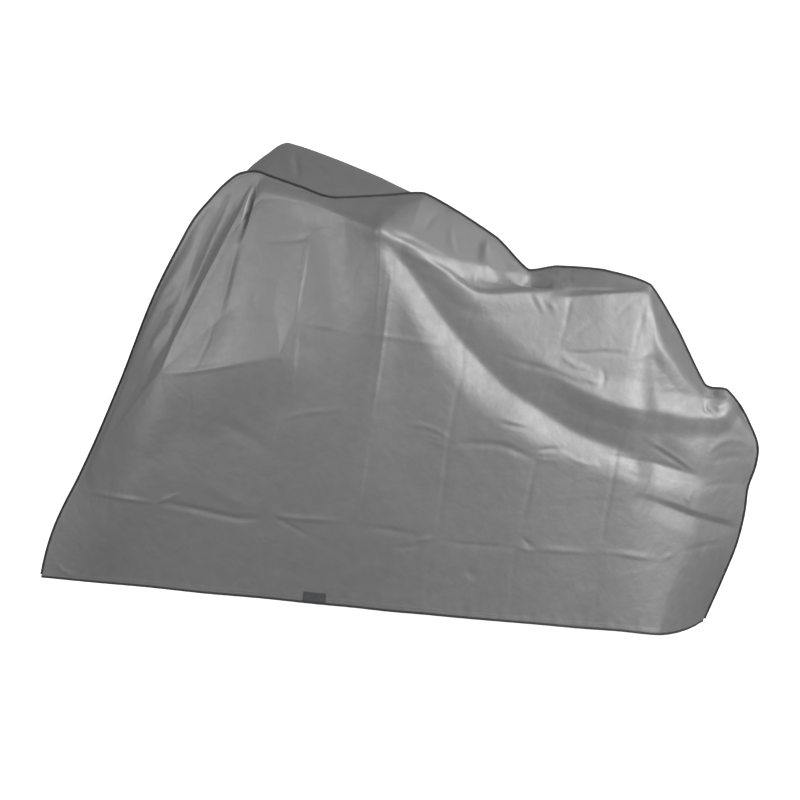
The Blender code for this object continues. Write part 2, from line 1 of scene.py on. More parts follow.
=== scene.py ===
"""Bicycle cover: the draped sheeting, its bound seam and hem, the stitching and the woven tab.

Lengths are metres. X runs to the rear and Z up. In the tables, "out" is the distance from the
centre plane, to the left (-Y) in LEFT_ and to the right (+Y) in RIGHT_ tables, and heights are
above the ground. Everything is then moved so that the origin is the point under the roof that
carries the cover.

Most places in the tables were picked on the photograph, worked out through the camera below and
rounded. Heights and widths were set one by one. The right side is made up below its roof.
"""

import math
from collections import namedtuple

import bmesh
import bpy
import numpy as np
from bpy.props import FloatProperty, FloatVectorProperty, IntProperty, PointerProperty
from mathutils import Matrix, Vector


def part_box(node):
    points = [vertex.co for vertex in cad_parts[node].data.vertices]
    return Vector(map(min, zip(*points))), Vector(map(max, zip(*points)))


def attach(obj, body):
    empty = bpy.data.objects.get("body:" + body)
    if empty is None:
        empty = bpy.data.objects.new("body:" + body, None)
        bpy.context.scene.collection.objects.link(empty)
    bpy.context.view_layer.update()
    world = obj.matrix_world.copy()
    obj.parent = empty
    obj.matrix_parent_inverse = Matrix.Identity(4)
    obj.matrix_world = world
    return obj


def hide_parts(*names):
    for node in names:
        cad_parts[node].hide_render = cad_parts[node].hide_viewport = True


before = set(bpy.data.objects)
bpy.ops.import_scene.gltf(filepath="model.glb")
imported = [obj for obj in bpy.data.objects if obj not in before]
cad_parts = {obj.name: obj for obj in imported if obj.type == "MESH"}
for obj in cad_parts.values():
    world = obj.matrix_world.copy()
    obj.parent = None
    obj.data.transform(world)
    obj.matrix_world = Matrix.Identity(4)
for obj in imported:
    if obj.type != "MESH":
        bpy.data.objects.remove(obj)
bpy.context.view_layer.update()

bl_info = {
    "name": "Bicycle Cover",
    "version": (1, 0, 0),
    "blender": (4, 5, 0),
    "location": "3D View > Sidebar > Cover",
    "description": "Draped sheeting, bindings, stitching and tab of a bicycle cover",
    "category": "Object",
}

CARRY_POINT = np.array((-0.155, 0.0, 1.128))  # under the roof, above the ground
BROW_AT = 0.14  # share of a section's girth that lies above its brow
ROOF_SOFTNESS = 0.45  # 0 gives flat facets between sections, 1 a round sweep
WALL_SOFTNESS = 1.0
FOLD_STEP = 0.02  # between the points that a fold's line is read at
DEEPEST_TROUGH = 0.6  # share of the way in to the seam's line that a trough may reach
SEAM_CALM = 0.05  # share of the girth, from the seam, over which the folds fade in
END_CALM = 0.02  # share of the cover's length, from each end, over which they fade in
CREASE_CREST = 0.0008  # softness of a crease's top
CREASE_FOOT = 0.15  # how softly a crease's sides run out, 0 to 1
CREASE_FADE = 0.1  # share of its height that is left at its ends
TURN_STEP = 0.003  # width of the step at the edge of doubled sheeting
PUCKER_REACH = 0.016  # how far the hem's puckers run to either side of its turn
PUCKER_CALM = 0.02  # distance from the seam over which they fade in
PUCKER_WAVES = ((0.043, 1.0, 0.0), (0.0271, 0.7, 1.3))  # length, height, phase
TAPE_STEP = 0.006  # between the points of a tape's path
TAPE_TURNS = 6  # faces round the top of a tape
TAPE_WAVES = ((0.037, 0.0004, 0.0), (0.0171, 0.0003, 0.0))  # length, height, phase
SEAM_TAPE_REACH = 0.001  # how far the tape reaches in over the seam
HEM_TAPE_REACH = 0.002  # and over the hem
HEM_TAPE_INSET = 0.0006
STITCH_SIDES = 6
STITCH_HALF_LENGTH = 0.36  # share of the stitches' pitch
STITCH_RINGS = ((-1.0, 0.45), (-0.55, 1.0), (0.55, 1.0), (1.0, 0.45))  # place along it, swell
HEM_STITCHES_IN = 0.002  # from the edge of the hem's turn
SEAM_STITCHES_IN = 0.003  # from the edge of the seam allowance
SEAM_STITCHES_SKIP = 2  # columns of the sheet, at each end, without them
TAB_COLUMNS = 56
TAB_ROWS = 25
TAB_ABOVE_HEM = 0.002
TAB_HEIGHT = 0.025
TAB_THICKNESS = 0.0012
TAB_RIB = 0.00018  # height of its ribs
TAB_TURN = 0.0003  # extra height where its edges are turned in
SENSOR_WIDTH = 36.0  # millimetres
LIGHT_DISTANCE = 4.5  # from each light to its aim
NOISE_LOW, NOISE_HIGH = 0.3, 0.7  # the range that most of a noise's values lie in
FLOOR_SIDE = 12.0
FLOOR_FRONT = -9.0
FLOOR_FLAT_END = 4.0
FLOOR_BACK = 7.0
FLOOR_BEND = 2.5  # radius of the sweep up to its back
FLOOR_BEND_POINTS = 16
FLOOR_TOP = 9.0
LEFT = -1
RIGHT = 1
SIDE_NAMES = {LEFT: "left", RIGHT: "right"}

# Where each light stands, in degrees: azimuth 0 is square to the left side. size is in metres.
Lamp = namedtuple("Lamp", "name azimuth elevation size")
LAMPS = (
    Lamp("key", 55.0, 16.0, 1.6),
    Lamp("top", 50.0, 38.0, 1.6),
    Lamp("fill", -50.0, 20.0, 2.5),
    Lamp("rim", 135.0, 30.0, 1.6),
)

# The centre seam down the front, from the crown to the hem: x, z
FRONT_SEAM = [
    (-0.357, 1.174), (-0.392, 1.168), (-0.428, 1.143), (-0.469, 1.101), (-0.502, 1.064),
    (-0.548, 0.989), (-0.602, 0.890), (-0.715, 0.630), (-0.802, 0.442), (-0.843, 0.362),
    (-0.872, 0.310), (-0.908, 0.235), (-0.937, 0.150), (-0.948, 0.105),
]
# The centre seam down the rear, from the ledge to the hem: x, z
REAR_SEAM = [
    (0.853, 0.596), (0.875, 0.555), (0.902, 0.482), (0.899, 0.445), (0.882, 0.381),
    (0.878, 0.322), (0.861, 0.227), (0.834, 0.144), (0.789, 0.019),
]

# Each section is a line of the cloth from the seam over the brow to the hem.
# seam, brow and hem are (x, out, z); upper and lower are "out" at a third and two thirds of the
# wall; round is how softly the brow turns.
Section = namedtuple("Section", "name seam brow upper lower hem round")

LEFT_SECTIONS = [
    Section("front_edge", (-0.357, 0.000, 1.174), (-0.526, 0.000, 1.026), 0.000, 0.000,
            (-0.948, 0.000, 0.105), 0.02),
    Section("front_wrap", (-0.350, 0.000, 1.173), (-0.470, 0.045, 0.970), 0.120, 0.120,
            (-0.799, 0.060, 0.118), 0.03),
    Section("pleat", (-0.341, 0.000, 1.171), (-0.400, 0.055, 1.040), 0.150, 0.160,
            (-0.633, 0.120, 0.131), 0.03),
    Section("knot", (-0.325, 0.004, 1.165), (-0.331, 0.045, 1.125), 0.175, 0.185,
            (-0.485, 0.160, 0.134), 0.03),
    Section("roof_front", (-0.241, 0.040, 1.142), (-0.228, 0.070, 1.112), 0.190, 0.205,
            (-0.336, 0.190, 0.136), 0.015),
    Section("roof_dip", (-0.155, 0.060, 1.118), (-0.121, 0.125, 1.082), 0.200, 0.215,
            (-0.188, 0.210, 0.131), 0.015),
    Section("left_peak", (-0.036, 0.020, 1.119), (-0.038, 0.200, 1.068), 0.210, 0.220,
            (-0.108, 0.220, 0.129), 0.02),
    Section("roof_end", (0.059, 0.000, 1.122), (0.023, 0.185, 1.044), 0.200, 0.220,
            (-0.013, 0.230, 0.124), 0.03),
    Section("slope", (0.147, 0.000, 1.074), (0.104, 0.165, 0.980), 0.200, 0.220,
            (0.074, 0.235, 0.120), 0.03),
    Section("shelf", (0.236, 0.000, 1.015), (0.192, 0.155, 0.911), 0.200, 0.220,
            (0.148, 0.235, 0.114), 0.03),
    Section("dip", (0.316, 0.020, 0.938), (0.318, 0.120, 0.911), 0.195, 0.215,
            (0.259, 0.230, 0.104), 0.03),
    Section("hump_front", (0.385, 0.000, 0.944), (0.417, 0.106, 0.906), 0.180, 0.205,
            (0.345, 0.220, 0.094), 0.04),
    Section("hump", (0.503, 0.000, 0.936), (0.516, 0.094, 0.906), 0.165, 0.185,
            (0.458, 0.200, 0.077), 0.04),
    Section("hump_back", (0.617, 0.000, 0.900), (0.604, 0.080, 0.898), 0.145, 0.165,
            (0.558, 0.185, 0.065), 0.04),
    Section("drop", (0.685, 0.000, 0.794), (0.648, 0.100, 0.770), 0.110, 0.140,
            (0.635, 0.165, 0.050), 0.05),
    Section("ledge", (0.761, 0.000, 0.649), (0.751, 0.060, 0.642), 0.090, 0.110,
            (0.695, 0.120, 0.034), 0.05),
    Section("ledge_end", (0.816, 0.000, 0.637), (0.814, 0.050, 0.630), 0.060, 0.070,
            (0.748, 0.060, 0.024), 0.05),
    Section("rear_edge", (0.853, 0.000, 0.596), (0.902, 0.000, 0.482), 0.000, 0.000,
            (0.789, 0.000, 0.019), 0.05),
]

# The right panel has the left one's seam and hem, and a brow and wall of its own.
Wall = namedtuple("Wall", "name brow upper lower round")

RIGHT_WALLS = [
    Wall("front_edge", (-0.526, 0.000, 1.026), 0.000, 0.000, 0.02),
    Wall("front_wrap", (-0.470, 0.040, 1.030), 0.120, 0.120, 0.03),
    Wall("pleat", (-0.400, 0.110, 1.172), 0.150, 0.150, 0.03),
    Wall("knot", (-0.355, 0.190, 1.215), 0.200, 0.190, 0.03),
    Wall("right_peak", (-0.305, 0.235, 1.242), 0.230, 0.210, 0.02),
    Wall("roof_dip", (-0.147, 0.150, 1.200), 0.210, 0.210, 0.02),
    Wall("roof_back", (-0.049, 0.083, 1.163), 0.180, 0.200, 0.02),
    Wall("roof_end", (0.055, 0.040, 1.107), 0.170, 0.200, 0.03),
    Wall("slope", (0.104, 0.080, 1.000), 0.170, 0.200, 0.03),
    Wall("shelf", (0.192, 0.100, 0.911), 0.170, 0.200, 0.03),
    Wall("dip", (0.318, 0.120, 0.900), 0.170, 0.200, 0.03),
    Wall("hump_front", (0.417, 0.100, 0.905), 0.150, 0.190, 0.04),
    Wall("hump", (0.516, 0.100, 0.905), 0.140, 0.180, 0.04),
    Wall("hump_back", (0.604, 0.080, 0.890), 0.130, 0.160, 0.04),
    Wall("drop", (0.671, 0.060, 0.777), 0.110, 0.140, 0.05),
    Wall("ledge", (0.751, 0.060, 0.642), 0.090, 0.110, 0.05),
    Wall("ledge_end", (0.814, 0.050, 0.630), 0.060, 0.070, 0.05),
    Wall("rear_edge", (0.902, 0.000, 0.482), 0.000, 0.000, 0.05),
]


def right_section(left, wall):
    """A section of the right panel: the shared seam, seen from the other side, and the shared hem."""
    x, out, z = left.seam
    return Section(wall.name, (x, -out, z), wall.brow, wall.upper, wall.lower, left.hem, wall.round)


RIGHT_SECTIONS = [right_section(left, wall) for left, wall in zip(LEFT_SECTIONS, RIGHT_WALLS)]

# A fold is a crest, or a trough where its height is negative, along a row of stations. Each station
# is (x, z, height, left, right): its place as seen square from the side, how far the crest stands
# out there, and the fold's width on the left and right hand of someone who walks along it. crest is
# how softly its top is rounded, and foot how softly its sides run out, 0 to 1. Folds that share a
# group run into each other: the highest shows.
Fold = namedtuple("Fold", "name group crest foot stations")

LEFT_FOLDS = [
    Fold("long valley", "", 0.008, 0.50, [
        (-0.025, 1.040, -0.004, 0.036, 0.026), (0.040, 0.955, -0.011, 0.060, 0.046),
        (0.095, 0.875, -0.016, 0.075, 0.062), (0.150, 0.805, -0.019, 0.085, 0.075),
        (0.205, 0.745, -0.021, 0.092, 0.080), (0.265, 0.685, -0.022, 0.098, 0.080),
        (0.340, 0.635, -0.021, 0.100, 0.076), (0.420, 0.580, -0.019, 0.100, 0.072),
        (0.540, 0.525, -0.016, 0.090, 0.064), (0.655, 0.470, -0.010, 0.070, 0.054),
        (0.750, 0.430, -0.004, 0.050, 0.046),
    ]),
    Fold("pleat ridge", "front", 0.002, 0.15, [
        (-0.365, 1.130, 0.002, 0.060, 0.020), (-0.385, 1.085, 0.006, 0.070, 0.026),
        (-0.410, 1.030, 0.008, 0.080, 0.030), (-0.450, 0.945, 0.012, 0.090, 0.036),
        (-0.500, 0.850, 0.017, 0.095, 0.042), (-0.535, 0.775, 0.021, 0.095, 0.046),
        (-0.565, 0.695, 0.025, 0.100, 0.050),
    ]),
    Fold("pocket ridge", "front", 0.002, 0.30, [
        (-0.565, 0.695, 0.025, 0.150, 0.170), (-0.480, 0.710, 0.024, 0.150, 0.170),
        (-0.390, 0.735, 0.020, 0.140, 0.160), (-0.285, 0.760, 0.015, 0.110, 0.130),
    ]),
    Fold("front ridge", "front", 0.003, 0.20, [
        (-0.565, 0.695, 0.025, 0.120, 0.050), (-0.615, 0.640, 0.022, 0.120, 0.046),
        (-0.675, 0.565, 0.018, 0.110, 0.042), (-0.735, 0.490, 0.012, 0.090, 0.038),
        (-0.790, 0.420, 0.005, 0.070, 0.030),
    ]),
    Fold("crease A ridge", "front", 0.002, 0.15, [
        (-0.215, 1.025, 0.003, 0.050, 0.024), (-0.225, 0.965, 0.006, 0.070, 0.040),
        (-0.235, 0.910, 0.009, 0.080, 0.054), (-0.240, 0.845, 0.012, 0.090, 0.062),
        (-0.260, 0.800, 0.013, 0.080, 0.052), (-0.280, 0.755, 0.015, 0.080, 0.034),
    ]),
    Fold("front trough", "", 0.003, 0.15, [
        (-0.420, 1.105, -0.004, 0.020, 0.012), (-0.435, 1.070, -0.007, 0.028, 0.014),
        (-0.465, 1.010, -0.009, 0.030, 0.016), (-0.500, 0.925, -0.010, 0.032, 0.016),
        (-0.525, 0.855, -0.010, 0.034, 0.018), (-0.560, 0.780, -0.009, 0.034, 0.020),
        (-0.595, 0.715, -0.009, 0.034, 0.024), (-0.630, 0.645, -0.008, 0.032, 0.026),
        (-0.675, 0.580, -0.006, 0.028, 0.024), (-0.745, 0.480, -0.002, 0.024, 0.020),
    ]),
    Fold("front strip", "", 0.005, 0.30, [
        (-0.470, 1.070, 0.003, 0.020, 0.028), (-0.520, 0.970, 0.005, 0.024, 0.030),
        (-0.600, 0.855, 0.006, 0.026, 0.030), (-0.650, 0.730, 0.007, 0.028, 0.028),
        (-0.705, 0.600, 0.006, 0.024, 0.024), (-0.765, 0.470, 0.002, 0.020, 0.020),
    ]),
    Fold("roof brow", "", 0.002, 0.20, [
        (-0.335, 1.130, 0.001, 0.030, 0.030), (-0.240, 1.110, 0.003, 0.036, 0.040),
        (-0.125, 1.080, 0.004, 0.036, 0.040), (-0.045, 1.060, 0.003, 0.034, 0.030),
    ]),
    Fold("peak edge", "", 0.002, 0.20, [
        (-0.040, 1.060, 0.004, 0.034, 0.050), (0.000, 1.090, 0.007, 0.044, 0.060),
        (0.060, 1.115, 0.005, 0.040, 0.050),
    ]),
    Fold("upper edge", "", 0.002, 0.20, [
        (-0.030, 1.060, 0.003, 0.046, 0.018), (0.050, 1.020, 0.008, 0.050, 0.034),
        (0.130, 0.980, 0.011, 0.056, 0.036), (0.195, 0.960, 0.010, 0.050, 0.022),
        (0.230, 0.945, 0.007, 0.040, 0.014),
    ]),
    Fold("shelf edge", "", 0.002, 0.20, [
        (-0.035, 1.055, 0.003, 0.012, 0.024), (0.025, 1.020, 0.005, 0.012, 0.034),
        (0.115, 0.955, 0.007, 0.012, 0.040), (0.190, 0.905, 0.008, 0.012, 0.046),
        (0.295, 0.900, 0.007, 0.016, 0.050), (0.390, 0.900, 0.004, 0.014, 0.040),
    ]),
    Fold("dip hollow", "", 0.002, 0.30, [
        (0.260, 0.935, -0.004, 0.010, 0.010), (0.285, 0.930, -0.016, 0.012, 0.012),
        (0.320, 0.925, -0.026, 0.013, 0.013), (0.365, 0.915, -0.008, 0.010, 0.010),
    ]),
    Fold("slope end", "", 0.003, 0.30, [
        (0.220, 1.015, 0.005, 0.046, 0.012), (0.205, 0.990, 0.007, 0.050, 0.014),
        (0.210, 0.955, 0.006, 0.046, 0.014),
    ]),
    Fold("hump edge", "", 0.002, 0.20, [
        (0.390, 0.885, 0.003, 0.014, 0.044), (0.490, 0.890, 0.006, 0.016, 0.060),
        (0.605, 0.895, 0.005, 0.014, 0.050),
    ]),
    Fold("rear brow", "", 0.002, 0.20, [
        (0.610, 0.895, 0.002, 0.040, 0.030), (0.620, 0.835, 0.004, 0.044, 0.030),
        (0.630, 0.770, 0.006, 0.046, 0.030), (0.665, 0.730, 0.006, 0.046, 0.030),
        (0.705, 0.675, 0.004, 0.040, 0.026), (0.755, 0.635, 0.002, 0.030, 0.024),
    ]),
    Fold("lobe ridge", "", 0.004, 0.25, [
        (0.355, 0.735, 0.003, 0.050, 0.036), (0.430, 0.685, 0.007, 0.056, 0.044),
        (0.505, 0.650, 0.009, 0.060, 0.050), (0.570, 0.630, 0.010, 0.060, 0.052),
        (0.655, 0.605, 0.010, 0.056, 0.054), (0.745, 0.585, 0.010, 0.050, 0.050),
        (0.800, 0.585, 0.009, 0.040, 0.044), (0.830, 0.615, 0.004, 0.030, 0.030),
    ]),
    Fold("rear fold", "", 0.003, 0.30, [
        (0.600, 0.400, -0.002, 0.012, 0.034), (0.705, 0.350, -0.006, 0.014, 0.046),
        (0.850, 0.280, -0.005, 0.014, 0.046),
    ]),
    Fold("rear corner", "", 0.004, 0.40, [
        (0.725, 0.255, 0.001, 0.044, 0.044), (0.710, 0.225, 0.002, 0.046, 0.046),
        (0.680, 0.145, 0.004, 0.050, 0.050), (0.660, 0.050, 0.005, 0.050, 0.050),
    ]),
]

RIGHT_FOLDS = [
    Fold("long valley", "", 0.0120, 0.40, [
        (-0.230, 1.080, -0.008, 0.060, 0.070), (-0.080, 0.900, -0.028, 0.070, 0.090),
        (0.150, 0.735, -0.035, 0.070, 0.095), (0.350, 0.600, -0.030, 0.065, 0.090),
        (0.620, 0.470, -0.010, 0.060, 0.080),
    ]),
    Fold("peak ridge", "front", 0.0080, 0.30, [
        (-0.370, 1.060, 0.004, 0.060, 0.060), (-0.520, 0.780, 0.022, 0.080, 0.100),
        (-0.740, 0.450, 0.012, 0.080, 0.090),
    ]),
    Fold("hump fold", "", 0.0060, 0.30, [
        (0.600, 0.880, 0.006, 0.060, 0.070), (0.480, 0.620, 0.014, 0.070, 0.080),
        (0.300, 0.300, 0.006, 0.080, 0.080),
    ]),
]

# A crease is a narrow ridge, or a furrow where its height is negative, through its points (x, z).
# left and right are its widths. Only this fine surface shows them.
Crease = namedtuple("Crease", "name height left right points")

LEFT_CREASES = [
    Crease("slit", -0.0180, 0.008, 0.009, [
        (-0.348, 1.150), (-0.360, 1.110), (-0.372, 1.062), (-0.386, 1.016),
    ]),
    Crease("slit tail", -0.0050, 0.014, 0.012, [
        (-0.386, 1.010), (-0.400, 0.966), (-0.412, 0.912), (-0.430, 0.836),
    ]),
    Crease("pleat line", 0.0026, 0.007, 0.006, [
        (-0.350, 1.166), (-0.368, 1.130), (-0.382, 1.084), (-0.408, 1.032),
        (-0.450, 0.946), (-0.498, 0.850), (-0.534, 0.774), (-0.564, 0.700),
    ]),
    Crease("pocket line", 0.0019, 0.008, 0.007, [
        (-0.564, 0.694), (-0.478, 0.708), (-0.388, 0.734), (-0.288, 0.754),
    ]),
    Crease("front line", 0.0019, 0.007, 0.007, [
        (-0.570, 0.692), (-0.616, 0.640), (-0.674, 0.566), (-0.744, 0.480),
    ]),
    Crease("peak drop", 0.0022, 0.010, 0.007, [
        (-0.044, 1.054), (-0.040, 0.988), (-0.046, 0.898), (-0.054, 0.802),
    ]),
    Crease("peak shade", -0.0006, 0.014, 0.012, [
        (-0.058, 1.038), (-0.096, 0.968), (-0.124, 0.902), (-0.160, 0.882), (-0.222, 0.842),
    ]),
    Crease("fold A top", 0.0024, 0.009, 0.007, [
        (-0.208, 1.034), (-0.218, 1.006), (-0.224, 0.956), (-0.234, 0.896), (-0.240, 0.848),
    ]),
    Crease("fold A low", 0.0021, 0.009, 0.007, [(-0.238, 0.818), (-0.244, 0.738), (-0.254, 0.652)]),
    Crease("fold A foot", 0.0019, 0.009, 0.007, [(-0.276, 0.608), (-0.288, 0.552), (-0.292, 0.434)]),
    Crease("fold A hem", 0.0010, 0.012, 0.010, [(-0.310, 0.344), (-0.318, 0.236), (-0.322, 0.156)]),
    Crease("fold B top", 0.0026, 0.009, 0.008, [
        (-0.004, 0.988), (-0.018, 0.898), (-0.032, 0.790), (-0.046, 0.694), (-0.060, 0.606),
    ]),
    Crease("fold B low", 0.0021, 0.009, 0.008, [
        (-0.062, 0.588), (-0.078, 0.482), (-0.094, 0.386), (-0.104, 0.354),
    ]),
    Crease("fold B foot", -0.0019, 0.008, 0.008, [(-0.128, 0.342), (-0.118, 0.284)]),
    Crease("fold C top", -0.0012, 0.009, 0.008, [(0.194, 0.900), (0.176, 0.844), (0.166, 0.792)]),
    Crease("fold C knee", -0.0016, 0.010, 0.008, [(0.162, 0.792), (0.160, 0.746), (0.158, 0.722)]),
    Crease("fold C", -0.0015, 0.010, 0.008, [
        (0.158, 0.728), (0.142, 0.644), (0.128, 0.558), (0.116, 0.434), (0.102, 0.328),
    ]),
    Crease("fold C foot", -0.0007, 0.010, 0.010, [(0.090, 0.296), (0.078, 0.194), (0.072, 0.134)]),
    Crease("fold D top", -0.0014, 0.008, 0.009, [(0.418, 0.900), (0.412, 0.860), (0.388, 0.760)]),
    Crease("fold D", -0.0009, 0.010, 0.009, [(0.374, 0.728), (0.360, 0.666), (0.352, 0.626)]),
    Crease("fold D low", -0.0014, 0.009, 0.009, [
        (0.342, 0.520), (0.330, 0.458), (0.318, 0.396), (0.304, 0.324),
    ]),
    Crease("fold D foot", -0.0007, 0.008, 0.008, [(0.294, 0.296), (0.288, 0.220), (0.284, 0.116)]),
    Crease("fold E top", -0.0010, 0.009, 0.009, [
        (0.604, 0.892), (0.586, 0.822), (0.574, 0.776), (0.566, 0.742),
    ]),
    Crease("fold E", -0.0013, 0.009, 0.009, [(0.564, 0.718), (0.566, 0.644)]),
    Crease("fold E low", -0.0015, 0.010, 0.009, [
        (0.568, 0.616), (0.552, 0.560), (0.536, 0.502), (0.524, 0.428), (0.512, 0.356), (0.506, 0.288),
    ]),
    Crease("fold E foot", -0.0006, 0.010, 0.010, [(0.502, 0.248), (0.496, 0.146), (0.492, 0.082)]),
    Crease("fold F", -0.0016, 0.010, 0.009, [(0.776, 0.564), (0.756, 0.476), (0.744, 0.416)]),
    Crease("fold F low", -0.0014, 0.009, 0.009, [(0.732, 0.378), (0.730, 0.302)]),
    Crease("fold W top", -0.0016, 0.009, 0.009, [(-0.438, 0.836), (-0.454, 0.772), (-0.480, 0.710)]),
    Crease("fold W", -0.0013, 0.009, 0.009, [
        (-0.498, 0.698), (-0.500, 0.636), (-0.504, 0.562), (-0.512, 0.434),
    ]),
    Crease("fold W foot", -0.0008, 0.010, 0.010, [(-0.520, 0.340), (-0.530, 0.244), (-0.538, 0.160)]),
    Crease("fold V", -0.0008, 0.010, 0.010, [(-0.726, 0.428), (-0.738, 0.326), (-0.756, 0.186)]),
    Crease("top row", -0.0026, 0.007, 0.009, [
        (-0.330, 1.020), (-0.272, 1.022), (-0.228, 1.028), (-0.206, 1.036),
    ]),
    Crease("top row fork", 0.0019, 0.007, 0.007, [(-0.206, 1.034), (-0.222, 1.066)]),
    Crease("top row fork 2", 0.0019, 0.007, 0.007, [
        (-0.210, 1.030), (-0.182, 1.050), (-0.148, 1.046), (-0.106, 1.042),
    ]),
    Crease("star up", -0.0022, 0.007, 0.009, [(-0.236, 0.838), (-0.202, 0.854), (-0.160, 0.882)]),
    Crease("star right", 0.0021, 0.008, 0.007, [(-0.236, 0.836), (-0.168, 0.828), (-0.100, 0.816)]),
    Crease("star knot", 0.0032, 0.008, 0.008, [(-0.260, 0.836), (-0.240, 0.838)]),
    Crease("star left", 0.0010, 0.010, 0.010, [(-0.264, 0.832), (-0.352, 0.836), (-0.424, 0.834)]),
    Crease("row 3", 0.0010, 0.010, 0.010, [
        (-0.084, 0.818), (-0.042, 0.814), (0.058, 0.796), (0.158, 0.780),
    ]),
    Crease("row 3 right", -0.0017, 0.009, 0.012, [
        (0.228, 0.770), (0.296, 0.744), (0.370, 0.722), (0.418, 0.700), (0.466, 0.676),
    ]),
    Crease("row 2 left", 0.0018, 0.008, 0.008, [
        (-0.272, 0.604), (-0.230, 0.618), (-0.182, 0.626), (-0.120, 0.632),
    ]),
    Crease("row 2 mark", -0.0016, 0.007, 0.007, [(-0.310, 0.608), (-0.280, 0.606)]),
    Crease("row 2 mid", 0.0016, 0.007, 0.007, [(-0.108, 0.598), (-0.068, 0.586)]),
    Crease("row 2", 0.0018, 0.010, 0.008, [(0.020, 0.598), (0.058, 0.594), (0.098, 0.582), (0.132, 0.558)]),
    Crease("row 2 ripple", 0.0014, 0.007, 0.006, [(0.070, 0.574), (0.098, 0.564), (0.126, 0.550)]),
    Crease("row 2 ripple 2", 0.0013, 0.006, 0.006, [(0.072, 0.562), (0.102, 0.550), (0.132, 0.540)]),
    Crease("row 2 right", -0.0026, 0.012, 0.014, [
        (0.144, 0.550), (0.204, 0.550), (0.264, 0.544), (0.300, 0.528), (0.334, 0.512),
    ]),
    Crease("row 2 fold", -0.0035, 0.009, 0.008, [(0.340, 0.532), (0.368, 0.534), (0.402, 0.532)]),
    Crease("row 2 fold 2", 0.0014, 0.009, 0.008, [(0.338, 0.508), (0.360, 0.508), (0.398, 0.504)]),
    Crease("row 1 edge", 0.0029, 0.009, 0.008, [
        (-0.816, 0.350), (-0.748, 0.362), (-0.672, 0.368), (-0.600, 0.364),
    ]),
    Crease("row 1 fork", 0.0029, 0.007, 0.007, [(-0.600, 0.364), (-0.570, 0.380), (-0.536, 0.396)]),
    Crease("row 1 ripple", 0.0016, 0.007, 0.007, [(-0.588, 0.354), (-0.546, 0.344)]),
    Crease("row 1 dark", -0.0035, 0.010, 0.014, [
        (-0.592, 0.368), (-0.514, 0.360), (-0.448, 0.350), (-0.386, 0.342), (-0.330, 0.348),
    ]),
    Crease("row 1 knot", 0.0029, 0.009, 0.009, [
        (-0.304, 0.358), (-0.260, 0.354), (-0.198, 0.352), (-0.124, 0.350),
    ]),
    Crease("row 1 branch", -0.0029, 0.008, 0.008, [(-0.304, 0.354), (-0.260, 0.332), (-0.206, 0.304)]),
    Crease("row 1 fork 2", 0.0018, 0.007, 0.007, [(-0.122, 0.350), (-0.110, 0.354), (-0.086, 0.358)]),
    Crease("row 1 middle", -0.0026, 0.010, 0.014, [(-0.082, 0.338), (-0.012, 0.332), (0.056, 0.318)]),
    Crease("row 1 middle 2", -0.0022, 0.008, 0.008, [(-0.008, 0.286), (0.032, 0.288), (0.060, 0.296)]),
    Crease("row 1 knot 2", 0.0029, 0.007, 0.008, [(0.048, 0.304), (0.072, 0.310), (0.096, 0.316)]),
    Crease("row 1 knot 3", 0.0022, 0.007, 0.008, [(0.096, 0.312), (0.110, 0.294)]),
    Crease("row 1 right", -0.0014, 0.008, 0.012, [
        (0.106, 0.308), (0.158, 0.300), (0.220, 0.296), (0.292, 0.288),
    ]),
    Crease("row 1 step", -0.0023, 0.008, 0.008, [(0.306, 0.318), (0.324, 0.300), (0.342, 0.286)]),
    Crease("row 1 step 2", 0.0014, 0.007, 0.007, [(0.294, 0.296), (0.316, 0.284), (0.342, 0.280)]),
    Crease("row 1 ridge", 0.0021, 0.014, 0.008, [(0.342, 0.286), (0.402, 0.278), (0.496, 0.268)]),
    Crease("row 1 ridge 2", 0.0021, 0.014, 0.008, [(0.502, 0.272), (0.578, 0.256), (0.650, 0.236)]),
    Crease("row 1 end", 0.0017, 0.007, 0.007, [(0.650, 0.230), (0.674, 0.240), (0.700, 0.252)]),
    Crease("row 1 rear", -0.0014, 0.012, 0.014, [(0.706, 0.248), (0.774, 0.248), (0.856, 0.240)]),
    Crease("left ripple", 0.0016, 0.007, 0.007, [(-0.638, 0.306), (-0.580, 0.304)]),
    Crease("corner fold", 0.0026, 0.009, 0.009, [(-0.900, 0.146), (-0.880, 0.130), (-0.844, 0.128)]),
    Crease("corner fold 2", -0.0032, 0.009, 0.009, [(-0.842, 0.316), (-0.820, 0.280)]),
    Crease("row 0", -0.0013, 0.007, 0.007, [(0.304, 0.230), (0.358, 0.224)]),
    Crease("rear ray", 0.0011, 0.009, 0.008, [
        (0.590, 0.568), (0.632, 0.528), (0.698, 0.482), (0.742, 0.446),
    ]),
    Crease("rear ray shade", -0.0016, 0.007, 0.010, [(0.604, 0.544), (0.658, 0.502), (0.744, 0.440)]),
    Crease("rear ray 2", -0.0018, 0.009, 0.009, [
        (0.494, 0.516), (0.564, 0.500), (0.634, 0.478), (0.686, 0.460), (0.748, 0.436),
    ]),
    Crease("rear wave", 0.0014, 0.014, 0.012, [
        (0.762, 0.488), (0.794, 0.514), (0.840, 0.518), (0.888, 0.492),
    ]),
    Crease("rear wave 2", -0.0016, 0.014, 0.012, [(0.780, 0.470), (0.830, 0.474), (0.890, 0.460)]),
    Crease("rear wave 3", -0.0013, 0.012, 0.012, [(0.752, 0.406), (0.806, 0.408), (0.868, 0.400)]),
    Crease("shelf fold", -0.0050, 0.006, 0.006, [(0.186, 0.948), (0.188, 0.928), (0.192, 0.908)]),
    Crease("shelf line", -0.0022, 0.006, 0.006, [(0.200, 0.930), (0.246, 0.922), (0.320, 0.912)]),
